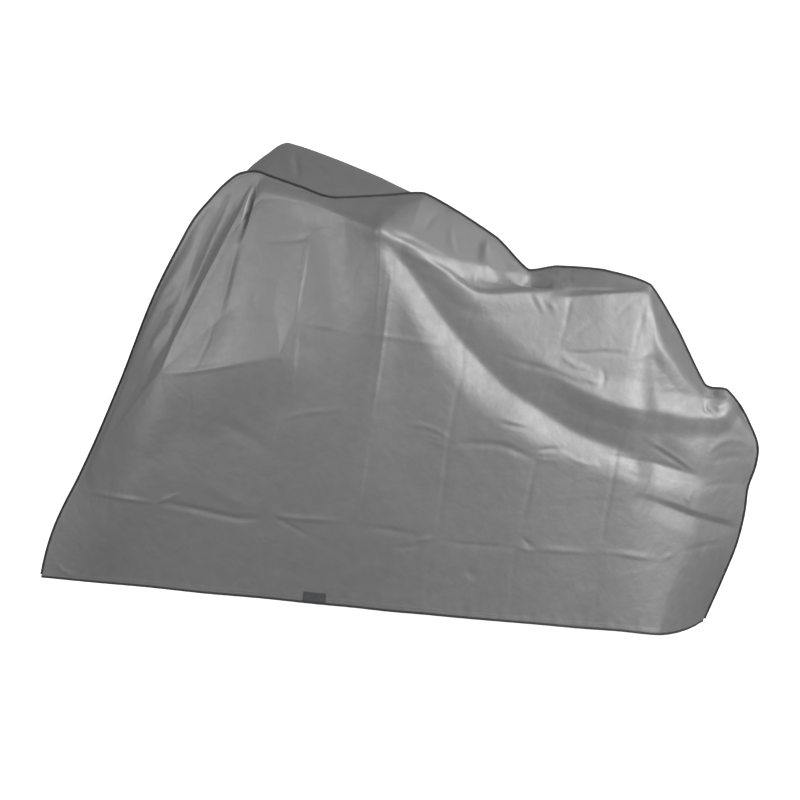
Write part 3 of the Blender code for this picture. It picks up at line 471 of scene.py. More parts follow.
    Crease("shelf line 2", -0.0016, 0.006, 0.006, [(0.198, 0.918), (0.272, 0.912), (0.356, 0.910)]),
    Crease("lens", -0.0080, 0.007, 0.007, [(0.276, 0.932), (0.310, 0.926), (0.348, 0.920)]),
    Crease("facet shade", -0.0026, 0.008, 0.007, [
        (-0.018, 1.054), (0.032, 1.034), (0.084, 1.002), (0.128, 0.978),
    ]),
    Crease("facet line", -0.0016, 0.006, 0.006, [
        (-0.028, 1.048), (0.044, 1.006), (0.114, 0.968), (0.174, 0.936),
    ]),
    Crease("facet fold", 0.0026, 0.010, 0.012, [(0.128, 1.060), (0.126, 1.024), (0.136, 0.978)]),
    Crease("facet fold 2", -0.0022, 0.010, 0.010, [(0.094, 1.084), (0.072, 1.062), (0.064, 1.048)]),
    Crease("facet end", 0.0025, 0.014, 0.010, [(0.224, 1.020), (0.206, 0.994), (0.198, 0.970)]),
    Crease("facet end 2", -0.0026, 0.008, 0.008, [(0.202, 1.026), (0.198, 1.002)]),
    Crease("hump line", -0.0040, 0.006, 0.005, [(0.426, 0.904), (0.502, 0.902), (0.594, 0.902)]),
    Crease("hump ridge line", 0.0019, 0.006, 0.008, [(0.396, 0.888), (0.488, 0.892), (0.602, 0.898)]),
    Crease("crumple", -0.0090, 0.006, 0.006, [(0.352, 0.936), (0.366, 0.930), (0.384, 0.932)]),
    Crease("crumple 2", -0.0110, 0.006, 0.005, [(0.392, 0.924), (0.410, 0.928), (0.420, 0.924)]),
    Crease("crumple 3", 0.0040, 0.007, 0.007, [(0.370, 0.940), (0.394, 0.936), (0.414, 0.938)]),
    Crease("crumple 4", 0.0035, 0.006, 0.007, [(0.374, 0.922), (0.392, 0.916), (0.422, 0.914)]),
    Crease("crumple 5", 0.0030, 0.006, 0.007, [(0.392, 0.904), (0.422, 0.910), (0.440, 0.906)]),
    Crease("crumple 6", -0.0080, 0.005, 0.005, [(0.422, 0.940), (0.426, 0.922), (0.418, 0.910)]),
    Crease("hump wrinkle", 0.0019, 0.010, 0.008, [(0.356, 0.886), (0.372, 0.870), (0.382, 0.852)]),
    Crease("hump wrinkle 2", -0.0022, 0.008, 0.008, [(0.372, 0.880), (0.388, 0.884), (0.396, 0.876)]),
    Crease("hump wrinkle 3", -0.0016, 0.007, 0.007, [(0.314, 0.904), (0.328, 0.880), (0.342, 0.854)]),
    Crease("hump wrinkle 4", 0.0014, 0.007, 0.007, [(0.326, 0.902), (0.342, 0.878), (0.358, 0.850)]),
    Crease("lobe fold", 0.0026, 0.012, 0.010, [(0.392, 0.760), (0.422, 0.736), (0.470, 0.722)]),
    Crease("lobe fold 2", -0.0022, 0.008, 0.010, [
        (0.396, 0.766), (0.440, 0.760), (0.500, 0.762), (0.566, 0.754),
    ]),
    Crease("lobe fold 3", 0.0029, 0.012, 0.009, [(0.432, 0.710), (0.466, 0.698), (0.490, 0.690)]),
    Crease("lobe fold 4", -0.0022, 0.009, 0.009, [(0.494, 0.730), (0.500, 0.702), (0.490, 0.674)]),
    Crease("lobe fold 5", 0.0022, 0.009, 0.009, [(0.570, 0.738), (0.600, 0.750), (0.632, 0.760)]),
    Crease("lobe line", -0.0014, 0.007, 0.007, [(0.412, 0.792), (0.464, 0.828), (0.488, 0.842)]),
    Crease("lobe line 2", -0.0013, 0.007, 0.007, [(0.516, 0.832), (0.548, 0.862), (0.586, 0.884)]),
    Crease("lobe line 3", 0.0016, 0.009, 0.009, [(0.588, 0.676), (0.652, 0.666), (0.730, 0.656)]),
    Crease("ledge line", -0.0060, 0.007, 0.008, [(0.744, 0.640), (0.786, 0.634), (0.826, 0.628)]),
    Crease("ledge patch", 0.0048, 0.016, 0.014, [(0.766, 0.616), (0.790, 0.608), (0.816, 0.616)]),
    Crease("ledge patch 2", -0.0032, 0.007, 0.007, [(0.758, 0.624), (0.756, 0.602), (0.776, 0.588)]),
    Crease("band ripple", 0.0021, 0.009, 0.009, [(0.240, 0.616), (0.280, 0.604), (0.322, 0.594)]),
    Crease("band ripple 2", -0.0016, 0.008, 0.008, [(0.244, 0.600), (0.288, 0.592), (0.328, 0.582)]),
    Crease("band ripple 3", 0.0016, 0.008, 0.008, [(0.396, 0.528), (0.446, 0.500), (0.494, 0.488)]),
    Crease("band ripple 4", -0.0014, 0.007, 0.007, [(0.544, 0.476), (0.608, 0.448), (0.670, 0.428)]),
    Crease("band edge", 0.0019, 0.009, 0.009, [(0.728, 0.358), (0.722, 0.384), (0.732, 0.404)]),
    Crease("dent", -0.0022, 0.020, 0.018, [(0.164, 0.236), (0.188, 0.222), (0.210, 0.210)]),
    Crease("soft dark", -0.0030, 0.030, 0.030, [(-0.442, 0.592), (-0.368, 0.558), (-0.286, 0.512)]),
    Crease("soft dark 2", -0.0020, 0.024, 0.024, [(-0.270, 0.506), (-0.220, 0.440)]),
    Crease("soft light", 0.0020, 0.030, 0.030, [(-0.474, 0.424), (-0.396, 0.390), (-0.334, 0.370)]),
    Crease("front wrinkle", -0.0032, 0.006, 0.006, [(-0.622, 0.812), (-0.590, 0.820), (-0.566, 0.820)]),
    Crease("front wrinkle 2", -0.0032, 0.006, 0.006, [(-0.622, 0.826), (-0.586, 0.836), (-0.552, 0.862)]),
    Crease("front wrinkle 3", -0.0024, 0.006, 0.006, [(-0.620, 0.800), (-0.578, 0.808), (-0.550, 0.804)]),
    Crease("front bulge", 0.0025, 0.014, 0.012, [(-0.578, 0.794), (-0.600, 0.762), (-0.604, 0.736)]),
    Crease("front bulge 2", 0.0026, 0.010, 0.010, [(-0.600, 0.844), (-0.564, 0.870), (-0.542, 0.896)]),
    Crease("crumple A", -0.0026, 0.006, 0.006, [(-0.384, 1.016), (-0.370, 1.000)]),
    Crease("crumple A2", 0.0022, 0.006, 0.006, [(-0.378, 1.020), (-0.364, 1.004)]),
    Crease("crumple B", 0.0026, 0.007, 0.007, [(-0.346, 0.958), (-0.326, 0.968), (-0.316, 0.972)]),
    Crease("crumple B2", -0.0021, 0.006, 0.006, [(-0.336, 0.962), (-0.336, 0.980)]),
    Crease("crumple C", -0.0019, 0.006, 0.006, [(-0.274, 1.010), (-0.274, 0.972)]),
    Crease("crumple C2", 0.0016, 0.006, 0.006, [(-0.284, 1.010), (-0.286, 0.972)]),
    Crease("crumple D", -0.0014, 0.007, 0.007, [(-0.334, 0.862), (-0.348, 0.888), (-0.324, 0.914)]),
    Crease("crumple E", -0.0014, 0.007, 0.007, [(-0.292, 0.886), (-0.256, 0.896)]),
    Crease("crumple F", 0.0016, 0.007, 0.007, [(-0.180, 1.012), (-0.160, 1.024)]),
    Crease("brow crumple", 0.0014, 0.007, 0.007, [(-0.164, 1.078), (-0.124, 1.070), (-0.088, 1.074)]),
    Crease("panel mark", -0.0014, 0.006, 0.006, [(-0.490, 0.634), (-0.536, 0.662)]),
    Crease("panel mark 2", 0.0014, 0.006, 0.006, [(-0.536, 0.654), (-0.500, 0.634)]),
]

# The right panel's own folds. It was folded up with the left one, so that one's packing creases
# show on it too, the other way out.
RIGHT_CREASES = [
    Crease("cap fold", 0.0035, 0.012, 0.016, [(-0.345, 1.160), (-0.335, 1.168), (-0.305, 1.190)]),
    Crease("peak fold", -0.0045, 0.012, 0.014, [
        (-0.278, 1.215), (-0.268, 1.195), (-0.253, 1.168), (-0.266, 1.146),
    ]),
    Crease("roof fold", -0.0020, 0.014, 0.012, [(-0.225, 1.180), (-0.150, 1.150), (-0.060, 1.128)]),
    Crease("roof fold 2", 0.0020, 0.014, 0.016, [(-0.290, 1.150), (-0.230, 1.125)]),
]
PACKING_NAMES = ("fold", "row")


# Shape


def walk_lengths(path):
    """Distance of each point of a path from its start."""
    return np.concatenate([[0], np.cumsum(np.linalg.norm(np.diff(path, axis=0), axis=1))])


def read_points(where, at, points):
    """Points known at the distances `at`, read in between at the distances `where`."""
    return np.stack([np.interp(where, at, column) for column in np.transpose(points)], axis=-1)


def unit(vectors):
    """The same directions with length 1."""
    return vectors / np.linalg.norm(vectors, axis=-1, keepdims=True)


def waver(walk, waves):
    """An uneven wave along a path: the sum of waves of the given length, height and phase."""
    return sum(height * np.sin(walk * 2 * np.pi / size + phase) for size, height, phase in waves)


def soft_curve(points, at, where, softness):
    """Reads a curve through points, set at the parameters `at`, at the parameters `where`."""
    points, at = np.asarray(points, float), np.asarray(at, float)
    spread = (-1,) + (1,) * (points.ndim - 1)
    step = np.diff(at)
    slope = np.diff(points, axis=0) / step.reshape(spread)
    weight = (step[1:] / (step[1:] + step[:-1])).reshape(spread)
    tangent = np.concatenate([slope[:1], weight * slope[:-1] + (1 - weight) * slope[1:], slope[-1:]])
    i = np.clip(np.searchsorted(at, where, side="right") - 1, 0, len(at) - 2)
    span = step[i].reshape(spread)
    t = ((where - at[i]) / step[i]).reshape(spread)
    straight = points[i] * (1 - t) + points[i + 1] * t
    bend = t * (1 - t) * span * ((1 - t) * (tangent[i] - slope[i]) - t * (tangent[i + 1] - slope[i]))
    return straight + softness * bend


def read_path(points, where):
    """Points at the shares `where` of a path's length."""
    walk = walk_lengths(points)
    return soft_curve(points, walk / walk[-1], where, WALL_SOFTNESS)


def seam_edge(points, rows):
    """A stretch of the centre seam, at the shares `rows` of its length."""
    path = read_path(points, rows)
    return np.stack([path[:, 0], np.zeros(len(rows)), path[:, 1]], axis=1)


def ramp(s, low, high, softness):
    """0 up to s = 0 and then s, with a soft corner, exact at both ends."""
    def raw(x):
        return 0.5 * (x + np.sqrt(x * x + softness * softness))

    share = (s - low) / (high - low)
    return raw(s) - raw(low) * (1 - share) + (high - raw(high)) * share


def section_line(section, rows):
    """The section's points at the shares `rows` of its girth, from seam to hem."""
    seam, brow, hem = (np.array(point) for point in (section.seam, section.brow, section.hem))
    above, below = BROW_AT, 1 - BROW_AT
    down = ramp(rows - BROW_AT, -above, below, section.round)
    up = ramp(BROW_AT - rows, -below, above, section.round)
    line = brow + np.outer(down / below, hem - brow) + np.outer(up / above, seam - brow)
    wall = np.clip((rows - BROW_AT) / below, 0, 1)
    stations = np.array([brow[1], section.upper, section.lower, hem[1]])
    bowed = soft_curve(stations, np.linspace(0, 1, 4), wall, WALL_SOFTNESS)
    line[:, 1] += bowed - (brow[1] + (hem[1] - brow[1]) * wall)
    return line


def section_places():
    """Where the sections lie along the cover, from 0 at the front to 1, the same on both sides."""
    walk = walk_lengths([section.hem for section in LEFT_SECTIONS])
    return walk / walk[-1]


def smooth_step(x):
    x = np.clip(x, 0, 1)
    return x * x * (3 - 2 * x)


def round_off(stations):
    """The stations of a fold read along a smooth line, close together."""
    stations = np.array(stations, float)
    walk = walk_lengths(stations[:, :2])
    stops = np.linspace(0, walk[-1], max(2, int(walk[-1] / FOLD_STEP) + 1))
    line = soft_curve(stations[:, :2], walk, stops, WALL_SOFTNESS)
    return np.column_stack([line, read_points(stops, walk, stations[:, 2:])])


def fold_height(x, z, fold):
    """How far a fold lifts the cloth at each point: a tent with a rounded crest and a soft foot."""
    stations = round_off(fold.stations)
    reach = stations[:, 3:].max()
    low, high = stations[:, :2].min(axis=0) - reach, stations[:, :2].max(axis=0) + reach
    lift = np.zeros(x.shape)
    near = (x > low[0]) & (x < high[0]) & (z > low[1]) & (z < high[1])
    px, pz = x[near], z[near]
    distance, height, width = np.full(px.shape, np.inf), np.zeros(px.shape), np.ones(px.shape)
    last = len(stations) - 2
    for k, (start, end) in enumerate(zip(stations, stations[1:])):
        length = np.hypot(*(end - start)[:2])
        dx, dz = (end - start)[:2] / length
        along = (px - start[0]) * dx + (pz - start[1]) * dz
        share = np.clip(along / length, 0, 1)
        off_x = px - start[0] - share * length * dx
        off_z = pz - start[1] - share * length * dz
        away = np.maximum(np.hypot(off_x, off_z), 1e-9)
        left_hand = (dx * off_z - dz * off_x) / away
        past_end = ((k == 0) & (along < 0)) | ((k == last) & (along > length))
        left_hand = np.where(past_end, left_hand, np.sign(left_hand))
        here = start + share[:, None] * (end - start)
        closer = away < distance
        distance = np.where(closer, away, distance)
        height = np.where(closer, here[:, 2], height)
        mixed = 0.5 * (here[:, 3] * (1 + left_hand) + here[:, 4] * (1 - left_hand))
        width = np.where(closer, mixed, width)
    rounded = np.sqrt(distance**2 + fold.crest**2) - fold.crest
    rise = np.clip(1 - rounded / width, 0, 1)
    lift[near] = height * rise**2 / (rise + fold.foot * (1 - rise) + 1e-9)
    return lift


def crease_fold(crease):
    """A crease as a fold that fades out at both ends."""
    stations = [(x, z, crease.height, crease.left, crease.right) for x, z in crease.points]
    ends = [(*crease.points[k], CREASE_FADE * crease.height, crease.left, crease.right) for k in (0, -1)]
    return Fold(crease.name, "", CREASE_CREST, CREASE_FOOT, [ends[0], *stations[1:-1], ends[1]])


def all_folds(x, z, folds):
    """The height of all folds together: the highest in each group, added to the ungrouped ones."""
    total, groups = np.zeros(x.shape), {}
    for fold in folds:
        height = fold_height(x, z, fold)
        if fold.group:
            groups[fold.group] = np.maximum(groups.get(fold.group, height), height)
        else:
            total += height
    return total + sum(groups.values())


def outward(grid, side):
    """Unit normals of a grid of points, turned away from the inside of the cover."""
    normal = np.cross(np.gradient(grid, axis=0), np.gradient(grid, axis=1))
    return normal * side / np.maximum(np.linalg.norm(normal, axis=2, keepdims=True), 1e-12)


def panel_grid(sections, folds, side, columns, rows):
    """The outer face of a side panel as a grid of points: columns along it, rows from seam to hem."""
    lines = np.array([section_line(section, rows) for section in sections])
    lines[0] = seam_edge(FRONT_SEAM, rows)
    lines[-1] = seam_edge(REAR_SEAM, rows)
    places = section_places()
    roof = soft_curve(lines, places, columns, ROOF_SOFTNESS)
    wall = soft_curve(lines, places, columns, WALL_SOFTNESS)
    share = smooth_step((rows - 0.5 * BROW_AT) / (2 * BROW_AT))[None, :, None]
    grid = (roof * (1 - share) + wall * share) * (1, side, 1)
    height = all_folds(grid[..., 0], grid[..., 2], folds)
    height *= smooth_step(rows / SEAM_CALM)[None, :]
    height *= smooth_step(np.minimum(columns, 1 - columns) / END_CALM)[:, None]
    room = np.abs(grid[..., 1] - grid[:, :1, 1])
    height = np.maximum(height, -DEEPEST_TROUGH * room)
    return grid + outward(grid, side) * height[..., None]


def seam_normals(path):
    """Directions square to a path in the centre plane, away from the inside of the cover."""
    along = np.gradient(path, axis=0)
    return unit(np.stack([-along[:, 2], np.zeros(len(path)), along[:, 0]], axis=1))


def seam_path(grid):
    """The whole centre seam, from the front hem corner over the top to the rear hem corner."""
    return np.concatenate([grid[0, ::-1], grid[1:-1, 0], grid[-1, :]])


def place(points):
    """Moves points from heights above the ground to the part's own origin."""
    return np.asarray(points, float) - CARRY_POINT


def girth_lengths(grid):
    """Distance of each grid point from the seam, down its own column."""
    steps = np.linalg.norm(np.diff(grid, axis=1), axis=2)
    return np.concatenate([np.zeros((len(grid), 1)), np.cumsum(steps, axis=1)], axis=1)


def seam_distance(grid):
    """Distance of each grid point from the nearest of the seam's edges."""
    from_front = girth_lengths(grid.transpose(1, 0, 2)).T
    from_rear = from_front[-1][None, :] - from_front
    return np.minimum(girth_lengths(grid), np.minimum(from_front, from_rear))


def dress_edges(grid, side, sizes):
    """Raises the seam allowance and turns up the hem, with slight puckers between stitches."""
    from_seam = seam_distance(grid)
    down = girth_lengths(grid)
    from_hem = down[:, -1:] - down
    seam_lift = smooth_step((sizes.seam_allowance - from_seam) / TURN_STEP) * sizes.turn_thickness
    hem_lift = smooth_step((sizes.hem_depth - from_hem) / TURN_STEP) * sizes.turn_thickness
    near_hem = np.exp(-((from_hem - sizes.hem_depth) / PUCKER_REACH) ** 2)
    pucker = sizes.pucker * near_hem * waver(walk_lengths(grid[:, -1]), PUCKER_WAVES)[:, None]
    keep = smooth_step(from_seam / PUCKER_CALM)
    return grid + outward(grid, side) * (seam_lift + hem_lift + pucker * keep)[..., None]


def fine_grid(side, sizes):
    """The fine surface of one panel."""
    if side == LEFT:
        sections, folds, creases = LEFT_SECTIONS, LEFT_FOLDS, LEFT_CREASES
        columns, rows = sizes.left_columns, sizes.left_rows
    else:
        packing = [crease for crease in LEFT_CREASES if crease.name.split()[0] in PACKING_NAMES]
        creases = RIGHT_CREASES + [crease._replace(height=-crease.height) for crease in packing]
        sections, folds = RIGHT_SECTIONS, RIGHT_FOLDS
        columns, rows = sizes.right_columns, sizes.right_rows
    folds = folds + [crease_fold(crease) for crease in creases]
    grid = panel_grid(sections, folds, side, np.linspace(0, 1, columns + 1), np.linspace(0, 1, rows + 1))
    return dress_edges(grid, side, sizes)


def mesh_object(name, verts, faces, material, uvs=None):
    """A smooth mesh in the scene, with a UV for each vertex if given."""
    data = bpy.data.meshes.new(name)
    data.from_pydata([tuple(v) for v in verts], [], [tuple(f) for f in faces])
    if uvs is not None:
        layer = data.uv_layers.new(name="cloth")
        loops = np.empty(len(data.loops), np.int32)
        data.loops.foreach_get("vertex_index", loops)
        layer.data.foreach_set("uv", np.asarray(uvs, np.float32)[loops].ravel())
    data.materials.append(material)
    data.shade_smooth()
    obj = bpy.data.objects.new(name, data)
    bpy.context.scene.collection.objects.link(obj)
    return obj


def grid_faces(columns, rows):
    """The faces between a grid of points, listed column by column."""
    index = np.arange(columns * rows).reshape(columns, rows)
    corners = (index[:-1, :-1], index[:-1, 1:], index[1:, 1:], index[1:, :-1])
    return np.stack(corners, axis=-1).reshape(-1, 4)


def add_sheet(side, sizes, material):
    """One panel as a thin open sheet, with its cut size as UVs in metres."""
    grid = fine_grid(side, sizes)
    columns, rows = grid.shape[:2]
    faces = grid_faces(columns, rows)
    if side == RIGHT:
        faces = faces[:, ::-1]
    along = walk_lengths(grid[:, -1])
    uvs = np.stack([np.broadcast_to(along[:, None], (columns, rows)), girth_lengths(grid)], axis=-1)
    name = SIDE_NAMES[side] + "_sheet"
    obj = mesh_object(name, place(grid.reshape(-1, 3)), faces.tolist(), material, uvs.reshape(-1, 2))
    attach(obj, "root")
    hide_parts("panel_" + SIDE_NAMES[side])
    return obj


# Looks


class Nodes:
    """Builds a procedural material, one node after another."""

    def __init__(self, name):
        self.material = bpy.data.materials.new(name)
        self.material.use_nodes = True
        self.tree = self.material.node_tree
        self.shader = self.tree.nodes["Principled BSDF"]
        self.where = self.add("TexCoord").outputs["Object"]

    def add(self, kind, links=None, **settings):
        node = self.tree.nodes.new("ShaderNode" + kind)
        for key, value in settings.items():
            if hasattr(node, key):
                setattr(node, key, value)
            else:
                node.inputs[key.replace("_", " ")].default_value = value
        for socket, source in (links or {}).items():
            self.tree.links.new(source, node.inputs[socket])
        return node

    def noise(self, scale, detail, roughness=0.55, distortion=0.0):
        settings = {"Scale": scale, "Detail": detail, "Roughness": roughness, "Distortion": distortion}
        return self.add("TexNoise", {"Vector": self.where}, **settings).outputs["Fac"]

    def spread(self, noise, low, high):
        """A noise's usual range stretched to run from low to high."""
        ends = {"From_Min": NOISE_LOW, "From_Max": NOISE_HIGH, "To_Min": low, "To_Max": high}
        return self.add("MapRange", {"Value": noise}, **ends).outputs["Result"]

    def bump(self, height, distance, strength, normal=None):
        links = {"Height": height} if normal is None else {"Height": height, "Normal": normal}
        return self.add("Bump", links, Distance=distance, Strength=strength).outputs["Normal"]

    def scaled(self, colour, factor):
        """A colour made lighter or darker by a factor that varies over the surface."""
        node = self.add("VectorMath", operation="SCALE")
        node.inputs[0].default_value = colour
        self.tree.links.new(factor, node.inputs["Scale"])
        return node.outputs["Vector"]

    def shade(self, **sockets):
        for key, value in sockets.items():
            socket = self.shader.inputs[key.replace("_", " ")]
            if isinstance(value, bpy.types.NodeSocket):
                self.tree.links.new(value, socket)
            else:
                socket.default_value = value


def sheeting_material(colours):
    """Coated plastic sheeting: fine leathery grain, soft crumple, and a tone and gloss that vary."""
    nodes = Nodes("silver_grey_sheeting")
    patches = nodes.noise(3.2, 3.0)
    mottle = nodes.noise(38.0, 5.0, 0.6)
    tone = nodes.add("Math", operation="ADD")
    nodes.tree.links.new(nodes.spread(patches, -0.035, 0.035), tone.inputs[0])
    nodes.tree.links.new(nodes.spread(mottle, 0.98, 1.02), tone.inputs[1])
    crumple = nodes.noise(16.0, 2.5, 0.5, 0.35)
    dimples = nodes.noise(52.0, 2.0, 0.5, 0.2)
    grain = nodes.add("TexVoronoi", {"Vector": nodes.where}, feature="SMOOTH_F1", Scale=900.0)
    normal = nodes.bump(grain.outputs["Distance"], 0.00012, 0.35)
    normal = nodes.bump(dimples, 0.0012, 0.5, normal)
    normal = nodes.bump(crumple, 0.004, 0.5, normal)
    nodes.shade(
        Base_Color=nodes.scaled(colours.sheeting, tone.outputs[0]),
        Roughness=nodes.spread(mottle, 0.56, 0.64),
        Metallic=0.8,
        Specular_IOR_Level=0.5,
        Normal=normal,
    )
    return nodes.material


def sewn_material(name, colour, speckle, shades, relief, threads=None, **looks):
    """Yarn: a colour that varies between two shades, and a fine relief of given depth and strength."""
    nodes = Nodes(name)
    lint = nodes.noise(*speckle)
    height = nodes.noise(*threads) if threads else lint
    base = nodes.scaled(colour, nodes.spread(lint, *shades))
    nodes.shade(Base_Color=base, Normal=nodes.bump(height, *relief), **looks)
    return nodes.material


def tape_material(colours):
    """Dark woven tape with fine threads."""
    looks = {"Roughness": 0.62, "Sheen_Weight": 0.15}
    speckle, shades, relief, threads = (260.0, 3.0), (0.8, 1.25), (0.0003, 0.6), (1400.0, 2.0)
    return sewn_material("dark_grey_tape", colours.tape, speckle, shades, relief, threads, **looks)


def thread_material(colours):
    """Twisted sewing thread."""
    speckle, shades, relief = (1800.0, 2.0), (0.85, 1.15), (0.0001, 0.5)
    return sewn_material("grey_thread", colours.thread, speckle, shades, relief, Roughness=0.55)


def woven_material(colours):
    """Woven label ground with a dusting of lint."""
    looks = {"Roughness": 0.8, "Sheen_Weight": 0.2}
    speckle, shades, relief = (420.0, 3.0), (0.8, 1.3), (0.0003, 0.5)
    return sewn_material("charcoal_woven", colours.tab, speckle, shades, relief, **looks)


# Sewn pieces


def resample(path, step, closed=False):
    """Points along a path, evenly spaced."""
    path = np.asarray(path, float)
    if closed:
        path = np.concatenate([path, path[:1]])
    walk = walk_lengths(path)
    stops = np.linspace(0, walk[-1], max(2, int(round(walk[-1] / step))) + 1)
    return read_points(stops[:-1] if closed else stops, walk, path)


def sweep(name, path, across, up, outline, closed, material):
    """Sweeps an outline of (across, up) points along a path."""
    verts, faces = [], []
    for point, side_way, up_way in zip(path, across, up):
        verts.extend(point + a * side_way + b * up_way for a, b in outline)
    count, turns = len(outline), len(path)
    for i in range(turns if closed else turns - 1):
        here, there = i * count, (i + 1) % turns * count
        for k in range(count):
            m = (k + 1) % count
            faces.append((here + k, here + m, there + m, there + k))
    if not closed:
        faces.append(tuple(range(count))[::-1])
        faces.append(tuple((turns - 1) * count + k for k in range(count)))
    obj = mesh_object(name, place(verts), faces, material)
    mesh = bmesh.new()
    mesh.from_mesh(obj.data)
    bmesh.ops.recalc_face_normals(mesh, faces=mesh.faces)
    mesh.to_mesh(obj.data)
    mesh.free()
    return obj


def tape_outline(sizes, reach):
    """A tape folded over an edge: straight sides that reach in over it, and a round top."""
    radius, height = 0.5 * sizes.tape_width, sizes.tape_height
    turns = [math.pi * k / TAPE_TURNS for k in range(TAPE_TURNS + 1)]
    top = [(radius * math.cos(a), height - radius + radius * math.sin(a)) for a in turns]
    return [(-radius, -reach), (radius, -reach)] + top


def add_seam_tape(sizes, material):
    """The tape over the centre seam, wavering a little from side to side."""
    path = resample(seam_path(fine_grid(LEFT, sizes)), TAPE_STEP)
    path, up = path[1:-1], seam_normals(path)[1:-1]
    across = np.tile((0.0, 1.0, 0.0), (len(path), 1))
    wave = waver(np.arange(len(path)) * TAPE_STEP, TAPE_WAVES)
    outline = tape_outline(sizes, SEAM_TAPE_REACH)
    obj = sweep("seam_tape", path + across * wave[:, None], across, up, outline, False, material)
    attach(obj, "root")
    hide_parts("seam_binding")
    return obj


def hem_path(sizes):
    """The hem all the way round, back along the left from the front and forward along the right."""
    left, right = fine_grid(LEFT, sizes), fine_grid(RIGHT, sizes)
    return np.concatenate([left[:, -1], right[-2:0:-1, -1]])


def level_across(path):
    """Directions square to a closed path, level with the ground and pointing out."""
    along = np.roll(path, -1, axis=0) - np.roll(path, 1, axis=0)
    return unit(np.stack([along[:, 1], -along[:, 0], np.zeros(len(path))], axis=1))


def add_hem_tape(sizes, material):
    """The tape round the hem, open side up."""
    path = resample(hem_path(sizes), TAPE_STEP, closed=True)
    across = level_across(path)
    down = np.tile((0.0, 0.0, -1.0), (len(path), 1))
    outline = tape_outline(sizes, HEM_TAPE_REACH)
    obj = sweep("hem_tape", path - across * HEM_TAPE_INSET, across, down, outline, True, material)
    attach(obj, "root")
    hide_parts("hem_binding")
    return obj


def add_stitches(name, path, normals, sizes, material):
    """A row of stitches: short rounded dashes half sunk in the cloth."""
    pitch, sides = sizes.stitch_pitch, STITCH_SIDES
    walk = walk_lengths(path)
    stops = np.arange(pitch, walk[-1] - pitch, pitch)
    centres = read_points(stops, walk, path)
    outs = unit(read_points(stops, walk, normals))
    along = unit(np.gradient(centres, axis=0))
    half, thick = STITCH_HALF_LENGTH * pitch, 0.5 * sizes.thread_width
    turns = [2 * math.pi * k / sides for k in range(sides)]
    verts, faces = [], []
    for centre, out, run, side in zip(centres, outs, along, np.cross(along, outs)):
        first = len(verts)
        for at, swell in STITCH_RINGS:
            rim = [math.cos(turn) * side + math.sin(turn) * out for turn in turns]
            verts.extend(centre + at * half * run + swell * thick * spoke for spoke in rim)
        last = len(verts) - sides
        for ring in range(first, last, sides):
            for k in range(sides):
                a, b = ring + k, ring + (k + 1) % sides
                faces.append((a, b, b + sides, a + sides))
        faces.append(tuple(range(first, first + sides))[::-1])
        faces.append(tuple(range(last, last + sides)))
    obj = mesh_object(name, place(verts), faces, material)
    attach(obj, "root")
    return obj


def offset_line(grid, side, distance, edge):
    """The line on a panel at a distance from its seam or its hem, with its normals."""
    lengths = girth_lengths(grid)
    wanted = lengths[:, -1] - distance if edge == "hem" else np.full(len(grid), distance)
    return [
        np.array([read_points(at, down, line) for at, down, line in zip(wanted, lengths, lines)])
        for lines in (grid, outward(grid, side))
    ]


def add_tab(sizes, material):
    """The woven tab: a ribbed strip with turned edges."""
    low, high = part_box("hem_tab")
    grid = fine_grid(LEFT, sizes)
    normal = outward(grid, LEFT)
    lengths = girth_lengths(grid)
    hem_x = grid[:, -1, 0] - CARRY_POINT[0]
    stops = np.linspace(low[0], high[0], TAB_COLUMNS + 1)
    verts = []
    for i, column in enumerate(np.interp(stops, hem_x, np.arange(len(grid)))):
        first, share = int(column), column - int(column)
        for j, row in enumerate(np.linspace(0.0, 1.0, TAB_ROWS + 1)):
            depth = TAB_ABOVE_HEM + TAB_HEIGHT * (1 - row)
            point, out = np.zeros(3), np.zeros(3)
            for here, weight in ((first, 1 - share), (first + 1, share)):
                at = lengths[here, -1] - depth
                point += weight * read_points(at, lengths[here], grid[here])
                out += weight * read_points(at, lengths[here], normal[here])
            from_edge = min(i, TAB_COLUMNS - i, j, TAB_ROWS - j)
            rib = TAB_RIB * (1 if j % 2 else -1) + (TAB_TURN if from_edge in (1, 2) else 0.0)
            verts.append(point + unit(out) * (TAB_THICKNESS + rib if from_edge else 0.0))
    faces = grid_faces(TAB_COLUMNS + 1, TAB_ROWS + 1).tolist()
    obj = mesh_object("woven_tab", place(verts), faces, material)
    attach(obj, "root")
    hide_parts("hem_tab")
    return obj


# Stage


def add_floor(material):
    """A pale floor that sweeps up behind the cover."""
    ground, radius = -CARRY_POINT[2], FLOOR_BEND
    bend = [
        (FLOOR_BACK - radius + radius * math.sin(a), radius - radius * math.cos(a))
        for a in np.linspace(0, math.pi / 2, FLOOR_BEND_POINTS)
    ]
    profile = [(FLOOR_FRONT, 0.0), (FLOOR_FLAT_END, 0.0)] + bend + [(FLOOR_BACK, FLOOR_TOP)]
    verts = [(x, y, z + ground) for y, z in profile for x in (-FLOOR_SIDE, FLOOR_SIDE)]
    faces = [(2 * i, 2 * i + 1, 2 * i + 3, 2 * i + 2) for i in range(len(profile) - 1)]
    obj = mesh_object("floor", verts, faces, material)
    obj.visible_diffuse = False  # a pale floor that throws no light back up
    obj.visible_glossy = False
    return obj


def floor_material(colours):
    nodes = Nodes("pale_floor")
    cloudy = nodes.noise(0.8, 2.0)
    nodes.shade(
        Base_Color=nodes.scaled(colours.floor, nodes.spread(cloudy, 0.99, 1.01)),
        Roughness=0.9,
        Emission_Color=(1.0, 1.0, 1.0, 1.0),
        Emission_Strength=1.0,
    )
    return nodes.material


